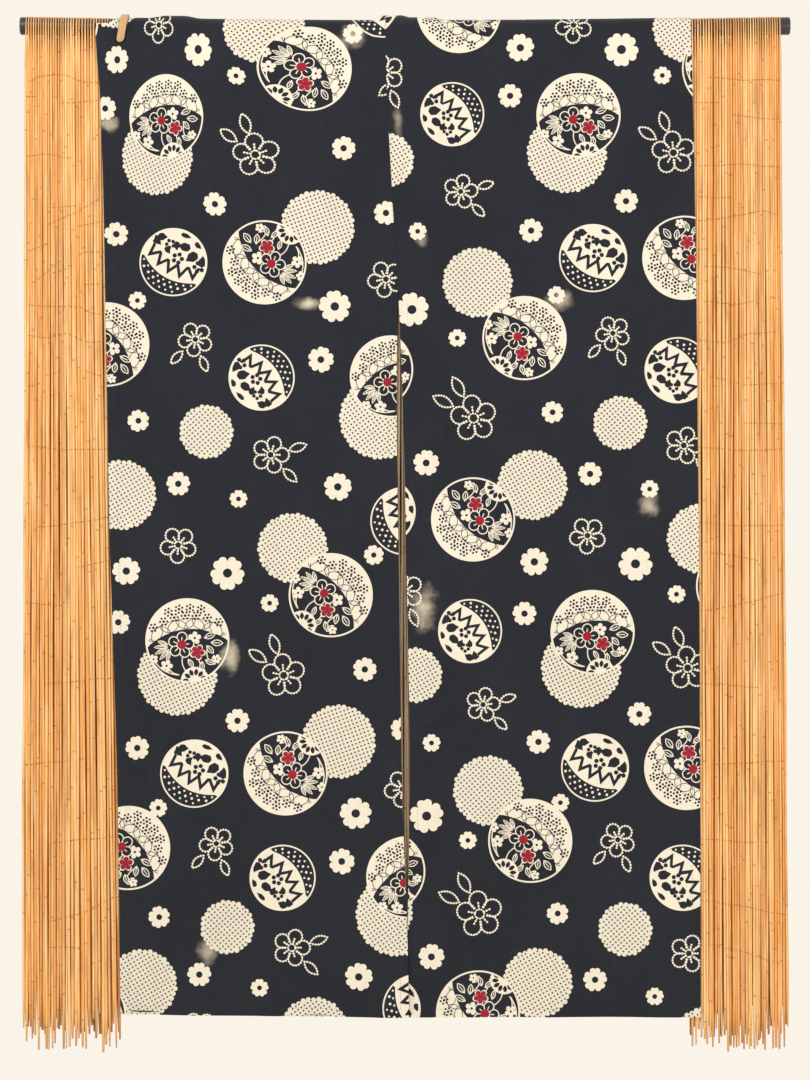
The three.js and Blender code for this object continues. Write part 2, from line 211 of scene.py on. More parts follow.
@dataclass
class ClothPanel:
    """One cut width of cloth, turned over the rod and hanging to its hem."""

    name: str
    node: str
    left_edge: Edge
    right_edge: Edge
    seam_edge: Edge
    lap: float
    width: float
    folds: tuple[Fold, ...]
    upright_crease: float
    creases: tuple[Crease, ...]
    puckers: tuple[Pucker, ...]
    slips: bool
    gap: float = 1.0 * MM
    cad_thickness: float = 1.2 * MM
    heading_drop: float = 45 * MM
    corner_top: float = 2 * MM
    corner_from: float = -432 * MM
    corner_to: float = -323 * MM
    hem_left: float = -1441 * MM
    hem_right: float = -1445.5 * MM
    hem_fall_ends: float = -10 * MM
    hangs_from: float = 60 * MM
    seam_end: float = -391 * MM
    seam_fades: float = -760 * MM
    fold_start: float = -20 * MM
    fold_high: float = -200 * MM
    fold_middle: float = -750 * MM

    @property
    def rest_radius(self) -> float:
        """Distance of the cloth's middle layer from the rod's axis, where nothing lifts it."""
        return ROD.radius + self.gap + self.cad_thickness / 2

    def radius(self, x: Points, z: Points) -> Points:
        """The radius at which the cloth passes over the rod at x, or hangs at height z."""
        hangs = smooth(-np.asarray(z), 0, self.hangs_from)
        down = smooth(-np.asarray(z), 0, -self.hem_right)
        radius = np.full(np.shape(x), self.rest_radius)
        for rise in RISES:
            end = (rise.end + (rise.end_at_hem - rise.end) * down) * MM
            height = (rise.over_rod + (rise.hanging - rise.over_rod) * hangs) * MM
            shoulder = rise.shoulder * MM
            start = rise.start * MM
            falls = 1 - smooth((np.asarray(x) - end) / shoulder, 0, 1)
            radius = radius + height * smooth(x, start - shoulder, start) * falls
        return radius

    def fold_depth(self, fold: Fold, z: Points) -> Points:
        """Depth of one fold at height z."""
        grown = smooth(-z, -self.fold_start, -self.fold_high)
        upper = np.clip((self.fold_high - z) / (self.fold_high - self.fold_middle), 0, 1)
        lower = np.clip((self.fold_middle - z) / (self.fold_middle - self.hem_right), 0, 1)
        above = fold.high + (fold.middle - fold.high) * upper
        return grown * (above + (fold.hem - above) * lower) * MM

    def relief(self, across: Points, x: Points, z: Points) -> Points:
        """How far the cloth stands forward of a plain hang."""
        total = np.zeros(np.shape(x))
        for fold in self.folds:
            total = total + self.fold_depth(fold, z) * bell(across - fold.at, fold.spread)
        from_seam = np.abs(x - edge_at(self.seam_edge, z))
        sewn = 1 - smooth(-z, -self.seam_end, -self.seam_fades)
        total = total * (1 - sewn * bell(from_seam, 40 * MM))
        lap = self.lap * 2 * MM * smooth(-z, 900 * MM, -self.hem_right)
        fine = self.fine_relief(across, x, z) * (1 - sewn * bell(from_seam, 14 * MM))
        valley = 1.1 * MM * sewn * bell(from_seam, 2.4 * MM) * smooth(-z, 20 * MM, 60 * MM)
        return total + lap * bell(from_seam, 30 * MM) + fine - valley

    def fine_relief(self, across: Points, x: Points, z: Points) -> Points:
        """The pressed creases and small ripples, which are too fine for the solid."""
        ridge = bell((across - self.upright_crease) * self.width, 2.6 * MM)
        fine = 0.75 * MM * ridge * smooth(-z, 60 * MM, 220 * MM)
        for crease in self.creases:
            level = crease.height * MM + crease.slope * (across - 0.5) * self.width
            reach = smooth(across, crease.start - 0.06, crease.start + 0.06)
            reach = reach * (1 - smooth(across, crease.end - 0.06, crease.end + 0.06))
            fine = fine + crease.depth * MM * reach * bell(z - level, 2.6 * MM)
        for pucker in self.puckers:
            side = (across - pucker.at) * self.width / (pucker.wide * MM)
            up = (z - pucker.height * MM) / (pucker.tall * MM)
            shape = np.exp(-side * side - up * up)
            fine = fine + pucker.depth * MM * shape * np.cos(pucker.waves * up)
        drift = 0.35 * MM * np.sin(across * 23 + z * 9) * np.sin(z * 31 - across * 7)
        return fine + drift * smooth(-z, 30 * MM, 200 * MM)

    def hem_at(self, x: Points) -> Points:
        """The hem's height at x."""
        fall = smooth(x, EDGE_ROWS[0, 1], self.hem_fall_ends)
        return self.hem_left + (self.hem_right - self.hem_left) * fall

    def heading_end(self, x: Points) -> Points:
        """Where the cloth ends on the heading's side, as a length from the rod's top."""
        radius = self.radius(x, np.zeros(np.shape(x)))
        laid = -radius * math.pi / 2 - self.heading_drop
        if not self.slips:
            return laid
        slipped = radius * np.arccos((self.corner_top - ROD.drop(x)) / radius)
        slip = np.clip((x - self.corner_from) / (self.corner_to - self.corner_from), 0, 1)
        return slipped + (laid - slipped) * slip

    def edges(self, z: Points) -> tuple[Points, Points]:
        """The panel's left and right edges at height z."""
        return edge_at(self.left_edge, z), edge_at(self.right_edge, z)

    def top_x(self, across: Points) -> Points:
        """The place along the rod of a fraction across, at the panel's top."""
        left = EDGE_ROWS[0, self.left_edge.value]
        right = EDGE_ROWS[0, self.right_edge.value]
        return left + (right - left) * across

    def hem_length(self, across: Points) -> Points:
        """Length from the rod's top to the hem, at a fraction across."""
        level = np.full(np.shape(across), self.hem_right)
        left, right = self.edges(level)
        x = left + (right - left) * across
        return self.radius(x, level) * math.pi / 2 + ROD.drop(x) - self.hem_at(x)

    def point(self, across: Points, s: Points) -> Points:
        """Points of the cloth's middle layer.

        Args:
            across: Fractions across the panel.
            s: Lengths from the rod's top, positive down the front.

        Returns:
            An array of x, y, z rows.
        """
        rough = drape_over(s, np.full(np.shape(s), self.rest_radius))[1]
        edge_z = np.where(s < 0, EDGE_ROWS[0, 0], rough)
        left, right = self.edges(edge_z)
        x = left + (right - left) * across
        y, z = drape_over(s, self.radius(x, rough))
        z = z + ROD.drop(x)
        relief = np.where(s > 0, self.relief(across, x, z), 0.0)
        return np.stack([x, y - relief, z], axis=-1)

    def facing(self, across: Points, s: Points) -> Points:
        """The outward direction of the cloth's front, at the same places as point()."""
        near_across = 0.4 * MM / self.width
        near_down = 0.4 * MM
        side = self.point(across + near_across, s) - self.point(across - near_across, s)
        down = self.point(across, s + near_down) - self.point(across, s - near_down)
        out = np.cross(down, side)
        return out / np.linalg.norm(out, axis=-1, keepdims=True)

    def from_chart(self, chart: Points) -> Points:
        """Where points of the print's chart lie on the panel.

        Args:
            chart: Rows of x to the right and y down, in chart steps.

        Returns:
            Rows of place across in metres and length down in metres.
        """
        x = (chart[:, 0] - CHART_MIDDLE) * CHART_STEP
        z = (CHART_ROD - chart[:, 1]) * CHART_STEP
        quarter = self.radius(x, np.minimum(z, 0)) * math.pi / 2
        s = quarter + ROD.drop(x) - z
        left, right = self.edges(z)
        return np.stack([(x - left) / (right - left) * self.width, s], axis=-1)


class Ink(Enum):
    """The colours of the printed cloth, as the order of its materials."""

    NAVY = 0
    CREAM = 1
    CRIMSON = 2
    ECRU = 3


@dataclass
class Drawing:
    """Flat closed outlines in painting order, each with its ink."""

    outlines: list[tuple[Points, Ink]] = field(default_factory=list)

    def add(self, outline: Points, ink: Ink) -> None:
        """Paints one closed outline over what is there."""
        self.outlines.append((np.asarray(outline, float), ink))

    def stroke(self, line: Points, width: float, ink: Ink) -> None:
        """Paints a line of a given width.

        Args:
            line: Its points, in order.
            width: Its width.
            ink: Its colour.
        """
        line = np.asarray(line, float)
        if len(line) < 2:
            return
        along = np.gradient(line, axis=0)
        along = along / np.maximum(np.linalg.norm(along, axis=1, keepdims=True), 1e-9)
        side = np.stack([-along[:, 1], along[:, 0]], axis=1) * width / 2
        self.add(np.concatenate([line + side, (line - side)[::-1]]), ink)

    def merge(self, part: "Drawing", x: float, y: float, turn: float = 0.0, size: float = 1.0) -> None:
        """Paints another drawing at a place, turned and sized."""
        c, s = math.cos(turn), math.sin(turn)
        spin = np.array([[c, -s], [s, c]]) * size
        for outline, ink in part.outlines:
            self.add(outline @ spin.T + (x, y), ink)

    def placed(self, x: float, y: float, turn: float, size: float) -> "Drawing":
        """A copy turned about its origin, sized, and moved; its own y runs up, the chart's down."""
        copy = Drawing()
        copy.merge(self, 0, 0, turn, size)
        return Drawing([(o * (1, -1) + (x, y), ink) for o, ink in copy.outlines])


def disc(x: float, y: float, radius: float, count: int) -> Points:
    """A closed circle of count points."""
    turn = np.arange(count) * 2 * math.pi / count
    return np.stack([x + radius * np.cos(turn), y + radius * np.sin(turn)], axis=1)


def around(x: float, y: float, radius: float, degrees: float) -> tuple[float, float]:
    """The point at a distance and a direction from x, y."""
    turn = math.radians(degrees)
    return x + radius * math.cos(turn), y + radius * math.sin(turn)


def spindle(x: float, y: float, degrees: float, length: float, t: Points, half: Points) -> Points:
    """A closed outline from x, y in a direction, with a half width at each share t of its length."""
    upper = np.stack([t * length, half], axis=1)
    lower = np.stack([t * length, -half], axis=1)[::-1][1:-1]
    c, s = math.cos(math.radians(degrees)), math.sin(math.radians(degrees))
    return np.concatenate([upper, lower]) @ np.array([[c, s], [-s, c]]) + (x, y)


def leaf(x: float, y: float, degrees: float, length: float, width: float, count: int = 8) -> Points:
    """A pointed leaf whose stalk end is at x, y."""
    t = np.linspace(0, 1, count)
    return spindle(x, y, degrees, length, t, width / 2 * np.sin(math.pi * t) ** 0.8)


def drop_shape(x: float, y: float, degrees: float, length: float, width: float) -> Points:
    """A petal with a point at x, y and a round far end."""
    t = np.concatenate([[0.0], np.linspace(0.25, 1, 6)])
    half = width / 2 * np.sqrt(np.maximum(0, 1 - (2 * t ** 0.8 - 1.18) ** 2 / 1.4)) * np.minimum(1, 2.4 * t)
    half[-1] = 0
    return spindle(x, y, degrees, length, t, half)


def arc(x: float, y: float, radius: float, start: float, end: float, count: int) -> Points:
    """An open arc of count points, from one angle to another in degrees."""
    turn = np.radians(np.linspace(start, end, count))
    return np.stack([x + radius * np.cos(turn), y + radius * np.sin(turn)], axis=1)


def blossom_outline(radius: float, points: int = 80) -> Points:
    """A five-petalled blossom whose petals have a shallow notch each."""
    turn = np.arange(points) * 2 * math.pi / points
    local = np.abs((turn + math.pi / 5) % (2 * math.pi / 5) - math.pi / 5) / (math.pi / 5)
    reach = 1 - 0.1 * bell(local, 0.17) - 0.3 * local ** 5
    return np.stack([-radius * reach * np.sin(turn), radius * reach * np.cos(turn)], axis=1)


def draw_blossom(radius: float) -> Drawing:
    """A solid blossom with a dark round centre and faint petal lines."""
    drawing = Drawing()
    drawing.add(blossom_outline(radius), Ink.CREAM)
    if radius > 10:
        for petal in range(5):
            facing = 90 + 72 * petal
            spot = around(0, 0, 0.6 * radius, facing)
            drawing.stroke(arc(*spot, 0.24 * radius, facing - 125, facing + 125, 9), 0.45, Ink.ECRU)
            edge = [around(0, 0, 0.34 * radius, facing + 36), around(0, 0, 0.66 * radius, facing + 36)]
            drawing.stroke(edge, 0.45, Ink.ECRU)
    drawing.add(disc(0, 0, 0.27 * radius, 16), Ink.NAVY)
    return drawing


def draw_kanoko(radius: float, pitch: float = 3.9) -> Drawing:
    """A tie-dyed disc: a scalloped edge, and rows of knots with a dark dot between each four."""
    drawing = Drawing()
    drawing.add(disc(0, 0, radius - 0.55 * pitch, 44), Ink.ECRU)
    count = round(2 * math.pi * radius / (1.45 * pitch))
    for k in range(count):
        x, y = around(0, 0, radius - (0.62 + 0.16 * math.sin(k * 2.3)) * pitch, 360 * k / count)
        drawing.add(disc(x, y, 0.64 * pitch, 10), Ink.ECRU)
    reach = int(radius / pitch) + 2
    places = [(i * pitch, j * pitch) for i in range(-reach, reach + 1) for j in range(-reach, reach + 1)]
    for x, y in places:
        if math.hypot(x, y) < radius - 0.75 * pitch:
            drawing.add(disc(x, y, 0.29 * pitch, 4), Ink.NAVY)
    return drawing


CAP_CURVE = 0.37
BALL_SIDES = 72


def cap_height(x: Points, middle: float) -> Points:
    """The curved line that parts a ball's cap from its field, on a ball of radius 1."""
    return middle + CAP_CURVE * np.asarray(x) ** 2


def ball_part(radius: float, middle: float, upper: bool) -> Points:
    """The part of a disc above or below a cap line.

    Args:
        radius: The disc's radius.
        middle: The cap line's height on the ball's axis.
        upper: True for the part above the line.

    Returns:
        A closed outline.
    """
    rim = disc(0, 0, radius, BALL_SIDES)
    above = rim[:, 1] > cap_height(rim[:, 0], middle)
    keep = above if upper else ~above
    first = next(i for i in range(BALL_SIDES) if keep[i] and not keep[i - 1])
    run = np.roll(rim, -first, axis=0)[: int(keep.sum())]
    x = np.linspace(run[-1, 0], run[0, 0], 24)[1:-1]
    return np.concatenate([run, np.stack([x, cap_height(x, middle)], axis=1)])


def draw_ring(drawing: Drawing, width: float) -> None:
    """Paints a cream ring of radius 1, in sectors, over whatever crosses it."""
    ring, inner = disc(0, 0, 1, BALL_SIDES), disc(0, 0, 1 - width, BALL_SIDES)
    for k in range(0, BALL_SIDES, 12):
        part = [i % BALL_SIDES for i in range(k, k + 13)]
        drawing.add(np.concatenate([ring[part], inner[part[::-1]]]), Ink.CREAM)


def draw_plum(radius: float, line: float, heart: Ink) -> Drawing:
    """A five-petalled plum blossom in outline, with notched petals, rays and a coloured heart."""
    drawing = Drawing()
    for petal in range(5):
        spot = around(0, 0, 0.6 * radius, 90 + 72 * petal)
        drawing.add(disc(*spot, 0.41 * radius, 14), Ink.CREAM)
    for petal in range(5):
        spot = around(0, 0, 0.6 * radius, 90 + 72 * petal)
        drawing.add(disc(*spot, 0.41 * radius - line, 12), Ink.NAVY)
    drawing.add(disc(0, 0, 0.3 * radius, 10), Ink.CREAM)
    for ray in range(10):
        facing = 90 + 36 * ray
        long = 0.62 if ray % 2 == 0 else 0.44
        drawing.stroke([around(0, 0, 0.26 * radius, facing), around(0, 0, long * radius, facing)],
                       0.9 * line, Ink.CREAM)
    drawing.add(disc(-0.08 * radius, 0, 0.34 * radius, 10), heart)
    return drawing


def draw_petalled(radius: float, ink: Ink, heart: Ink) -> Drawing:
    """A small solid blossom of five separate round petals."""
    drawing = Drawing()
    for petal in range(5):
        drawing.add(disc(*around(0, 0, 0.62 * radius, 90 + 72 * petal), 0.37 * radius, 9), ink)
    drawing.add(disc(0, 0, 0.42 * radius, 8), ink)
    drawing.add(disc(0, 0, 0.2 * radius, 6), heart)
    return drawing


def draw_veined_leaf(drawing: Drawing, spray: tuple[float, ...], line: float) -> None:
    """Paints a leaf in outline with its middle vein.

    Args:
        drawing: What is painted on.
        spray: The leaf's stalk end, direction in degrees, length and width.
        line: Width of the lines.
    """
    x, y, degrees, length, width = spray
    drawing.add(leaf(x, y, degrees, length, width), Ink.CREAM)
    start = around(x, y, 1.3 * line, degrees)
    drawing.add(leaf(*start, degrees, length - 2.6 * line, width - 1.9 * line), Ink.NAVY)
    drawing.stroke([(x, y), around(x, y, 0.72 * length, degrees)], 0.8 * line, Ink.CREAM)


BALL_LEAVES = (
    (-0.4, -0.02, 196, 0.3, 0.15), (-0.55, 0.1, 172, 0.3, 0.16), (-0.44, 0.16, 128, 0.26, 0.14),
    (-0.6, 0.4, 88, 0.24, 0.13), (-0.38, 0.5, 150, 0.24, 0.13), (-0.3, 0.52, 88, 0.24, 0.13),
    (0.46, 0.06, -22, 0.27, 0.1), (0.47, 0.1, 0, 0.34, 0.1), (0.47, 0.13, 22, 0.36, 0.1),
    (0.45, 0.17, 44, 0.34, 0.1), (0.42, 0.2, 66, 0.28, 0.1), (0.02, 0.44, 118, 0.24, 0.12),
)
BALL_STEMS = (
    (0.1, 0.72, 0.14, 0.36), (0.26, 0.8, 0.52, 0.6), (0.3, 0.8, 0.84, 0.4), (-0.36, 0.76, -0.24, 0.34),
    (-0.52, 0.62, -0.46, 0.2),
)


def bent_line(x0: float, y0: float, x1: float, y1: float, bow: float = 0.12) -> Points:
    """A gently bent line from one point to another."""
    t = np.linspace(0, 1, 8)
    aside = bow * np.sin(math.pi * t)
    return np.stack([x0 + (x1 - x0) * t - (y1 - y0) * aside, y0 + (y1 - y0) * t + (x1 - x0) * aside], axis=1)


def draw_cap_marks(drawing: Drawing, edge: float) -> None:
    """Paints rows of tiny rosettes of dots on a ball's cap."""
    for row, level in enumerate((-0.59, -0.76, -0.93)):
        for k in range(-4, 5):
            x = 0.26 * k + 0.13 * (row % 2)
            y = float(cap_height(x, level))
            if math.hypot(x, y) > edge - 0.08:
                continue
            drawing.add(disc(x, y, 0.036, 6), Ink.NAVY)
            for petal in range(6):
                drawing.add(disc(*around(x, y, 0.085, 60 * petal + 20 * row), 0.031, 5), Ink.NAVY)


def draw_band(drawing: Drawing, edge: float, line: float) -> None:
    """Paints a ball's band: two families of crossing half circles between two thin borders."""
    for k in range(-3, 4):
        for shift, level, facing in ((0.0, -0.52, 0), (0.2, -0.27, 180)):
            x = 0.4 * k + shift
            lean = facing + math.degrees(math.atan(0.74 * x))
            bow = arc(x, float(cap_height(x, level)), 0.24, lean, lean + 180, 14)
            drawing.stroke(bow[np.hypot(*bow.T) < edge], line, Ink.NAVY)
    border = np.linspace(-0.84, 0.84, 20)
    border = border[np.hypot(border, cap_height(border, -0.52)) < edge]
    drawing.stroke(np.stack([border, cap_height(border, -0.52)], 1), 0.7 * line, Ink.NAVY)


def draw_temari(radius: float) -> Drawing:
    """A thread ball: a cap of tiny marks, a band of crossing arcs and a flowery dark field."""
    drawing = Drawing()
    edge = 1 - 1.7 / radius
    thin, line = 0.7 / radius, 1.05 / radius
    drawing.add(disc(0, 0, 1, BALL_SIDES), Ink.CREAM)
    drawing.add(ball_part(edge, -0.27, True), Ink.NAVY)
    draw_band(drawing, edge, thin)
    draw_cap_marks(drawing, edge)
    for stem in BALL_STEMS:
        drawing.stroke(bent_line(*stem), line, Ink.CREAM)
    for spray in BALL_LEAVES:
        draw_veined_leaf(drawing, spray, line)
    fan = (-0.1, 0.98)
    drawing.add(disc(*fan, 0.34, 24), Ink.CREAM)
    for facing in (196, 227, 258, 289, 320, 351):
        drawing.add(leaf(*around(*fan, 0.13, facing), facing, 0.17, 0.1, 6), Ink.NAVY)
    drawing.merge(draw_petalled(0.16, Ink.CREAM, Ink.NAVY), -0.18, -0.04, 0.5)
    drawing.merge(draw_petalled(0.15, Ink.CREAM, Ink.NAVY), 0.54, 0.56, 0.2)
    drawing.merge(draw_petalled(0.12, Ink.CREAM, Ink.NAVY), 0.84, 0.38, 0.9)
    drawing.merge(draw_petalled(0.11, Ink.CREAM, Ink.NAVY), -0.66, 0.5, 0.3)
    drawing.merge(draw_petalled(0.2, Ink.CREAM, Ink.NAVY), -0.22, 0.3, 0.1)
    drawing.merge(draw_petalled(0.17, Ink.CRIMSON, Ink.CRIMSON), -0.22, 0.3, 0.1)
    drawing.merge(draw_plum(0.32, line, Ink.CRIMSON), 0.16, 0.1, 0.4)
    draw_ring(drawing, 1.7 / radius)
    return kept_inside(drawing)


def kept_inside(drawing: Drawing) -> Drawing:
    """The same drawing with whatever passes radius 1 pushed back onto it."""
    kept = Drawing()
    for outline, ink in drawing.outlines:
        reach = np.hypot(*outline.T)
        if reach.min() < 1.0:
            kept.add(outline / np.maximum(reach, 1.0)[:, None], ink)
    return kept


MEDALLION_PETALS = (
    (0.3, 0.2, 62, 0.42, 0.28), (-0.14, 0.5, 14, 0.4, 0.24), (0.66, 0.6, -66, 0.36, 0.24),
    (-0.5, 0.56, 205, 0.32, 0.22), (0.12, 0.88, 188, 0.34, 0.13), (0.52, 0.74, 160, 0.26, 0.16),
    (-0.08, 0.34, 118, 0.28, 0.18), (-0.56, 0.26, 160, 0.3, 0.18), (-0.2, 0.16, 150, 0.26, 0.16),
)
MEDALLION_CLUSTERS = ((0.06, 0.16, 0.2), (-0.34, 0.42, 0.17), (0.72, 0.24, 0.2), (-0.78, 0.34, 0.13))


def draw_medallion(radius: float) -> Drawing:
    """A small ball: a dark crescent with dots, a band of zigzags and cut-out petals."""
    drawing = Drawing()
    edge = 1 - 1.5 / radius
    drawing.add(disc(0, 0, 1, 60), Ink.CREAM)
    drawing.add(ball_part(edge, -0.5, False), Ink.NAVY)
    for row, level in enumerate((-0.58, -0.7, -0.83)):
        for k in range(-4, 5):
            x = 0.2 * k + 0.1 * (row % 2)
            y = float(cap_height(x, level))
            if math.hypot(x, y) < edge - 0.06:
                drawing.add(disc(x, y, 0.042 if row == 1 else 0.032, 6), Ink.CREAM)
    for k in range(-2, 3):
        x = 0.34 * k
        wide, tall, thick = 0.21, 0.42, 0.1
        chevron = np.array([(-wide, tall / 2), (0, -tall / 2), (wide, tall / 2), (wide - thick, tall / 2),
                            (0, 2 * thick - tall / 2), (thick - wide, tall / 2)])
        c, s = math.cos(0.6 * x), math.sin(0.6 * x)
        outline = chevron @ np.array([[c, s], [-s, c]]) + (x, float(cap_height(x, -0.2)))
        reach = np.hypot(*outline.T)
        drawing.add(outline * np.minimum(1, edge / reach)[:, None], Ink.NAVY)
    for x, y, size in MEDALLION_CLUSTERS:
        for petal in range(5):
            outline = disc(*around(x, y, 0.62 * size, 90 + 72 * petal + 60 * x), 0.34 * size, 8)
            if np.hypot(*outline.T).max() < edge:
                drawing.add(outline, Ink.NAVY)
    for petal in MEDALLION_PETALS:
        outline = drop_shape(*petal)
        drawing.add(outline * np.minimum(1, (edge - 0.02) / np.hypot(*outline.T))[:, None], Ink.NAVY)
    draw_ring(drawing, 1.5 / radius)
    return drawing


def beads(drawing: Drawing, line: Points, bead: float) -> None:
    """Strings small beads along a line, on a thin thread."""
    path = np.asarray(line, float)
    lengths = np.concatenate([[0], np.cumsum(np.linalg.norm(np.diff(path, axis=0), axis=1))])
    drawing.stroke(path, 0.6 * bead, Ink.CREAM)
    count = max(1, round(lengths[-1] / (2.45 * bead)))
    for place in np.linspace(0, lengths[-1], count + 1):
        x, y = np.interp(place, lengths, path[:, 0]), np.interp(place, lengths, path[:, 1])
        drawing.add(disc(x, y, bead, 6), Ink.CREAM)


def draw_bead_flower(radius: float, leaves: tuple[float, ...]) -> Drawing:
    """A flower whose petals, stamens and leaves are strings of beads.

    Args:
        radius: Its radius in chart steps, which sets the beads' share of it.
        leaves: The directions of its leaves in degrees.

    Returns:
        The flower at radius 1.
    """
    drawing = Drawing()
    bead = 1.15 / radius
    for facing in leaves:
        shape = leaf(*around(0, 0, 1.0, facing), facing + 4, 0.95, 0.44, 9)
        beads(drawing, np.vstack([shape, shape[:1]]), bead)
    for petal in range(5):
        facing = 90 + 72 * petal
        beads(drawing, arc(*around(0, 0, 0.6, facing), 0.37, facing - 150, facing + 150, 18), bead)
        beads(drawing, [around(0, 0, 0.2, facing), around(0, 0, 0.47, facing)], bead)
    beads(drawing, arc(0, 0, 0.2, 0, 360, 13), 0.9 * bead)
    drawing.add(disc(0, 0, 0.11, 8), Ink.NAVY)
    return drawing


def draw_rough(kind: str, radius: float) -> Drawing:
    """What seeps through to the cloth's back: a motif as plain soft shapes, at the motif's own scale.

    Args:
        kind: The motif's kind.
        radius: Its radius in chart steps.

    Returns:
        The shapes, at radius 1 for the kinds that are drawn so.
    """
    drawing = Drawing()
    if kind == "kanoko":
        drawing.add(disc(0, 0, radius, 30), Ink.ECRU)
    elif kind == "temari":
        drawing.add(disc(0, 0, 1, 36), Ink.ECRU)
        drawing.add(ball_part(0.95, -0.27, True)[::2], Ink.NAVY)
        drawing.add(disc(0.16, 0.1, 0.3, 12), Ink.ECRU)
        drawing.add(disc(0.16, 0.1, 0.1, 8), Ink.CRIMSON)
        drawing.add(disc(-0.22, 0.3, 0.18, 10), Ink.CRIMSON)
        drawing.add(disc(0.56, 0.56, 0.14, 8), Ink.ECRU)
    elif kind == "medallion":
        drawing.add(disc(0, 0, 1, 36), Ink.ECRU)
        drawing.add(ball_part(0.95, -0.5, False)[::2], Ink.NAVY)
    elif kind == "bead":
        for petal in range(5):
            drawing.add(disc(*around(0, 0, 0.6, 90 + 72 * petal), 0.34, 8), Ink.ECRU)
    else:
        drawing.add(blossom_outline(radius, 25), Ink.ECRU)
        drawing.add(disc(0, 0, 0.27 * radius, 8), Ink.NAVY)
    return drawing


@dataclass(frozen=True)
class Motif:
    """One motif of the repeat: its kind, place on the chart, size and turn in degrees."""

    kind: str
    x: float
    y: float
    size: float
    turn: float = 0.0
    leaves: tuple[float, ...] = ()


# The repeat by kind, in painting order: chart place, size, turn in degrees and directions of leaves.
SPOTS = {
    "kanoko": (
        (318, 228, 37, 20), (380.5, 418.5, 41, 35), (207, 432, 27, 40), (122, 495, 35, 30),
        (293, 548, 35, 35), (178, 675, 40, 25), (491, 288, 35, 40), (440, 682, 27.5, 30),
    ),
    "bead": (
        (284, 675, 22, 95, (105, 142)), (386, 280, 18.5, 117), (196, 340, 17.5, 117, (223, 288)),
        (271, 455, 19, 72, (14, -48)), (179, 545, 18.6, 122), (430, 600, 19, 108, (288, 215)),
        (505.5, 711, 17.5, 77, (13, -48)), (492.5, 427, 23.5, 97, (115, 150)),
    ),
    "medallion": (
        (174, 263, 34, 240), (262, 378, 33, 37), (404.5, 521, 34, 210), (494, 639, 32, 35),
    ),
    "temari": (
        (265, 263, 42, 225), (108, 345, 42, 45), (391, 377, 41, 115), (331, 595, 42, 40),
        (188, 640, 42, 95), (496, 529, 42, 225),
    ),
    "blossom": (
        (217, 205, 12, 90), (117, 235, 12, 100), (386, 214, 12, 80), (335, 307, 16, 95),
        (138, 301, 9, 85), (321, 360, 13, 75), (139, 421, 11, 105), (179, 484, 12, 90),
        (338, 487, 14, 80), (239, 499, 9, 90), (127, 571, 14, 95), (228, 573, 17, 270),
        (374, 555, 10, 100), (270, 603, 9, 85), (119, 622, 12, 90), (365, 669, 12, 75),
        (434, 236, 9, 90), (431, 316, 17, 100), (473, 345, 9, 90), (447, 473, 13, 85),
    ),
}
REPEAT = tuple(Motif(kind, *spot) for kind, spots in SPOTS.items() for spot in spots)


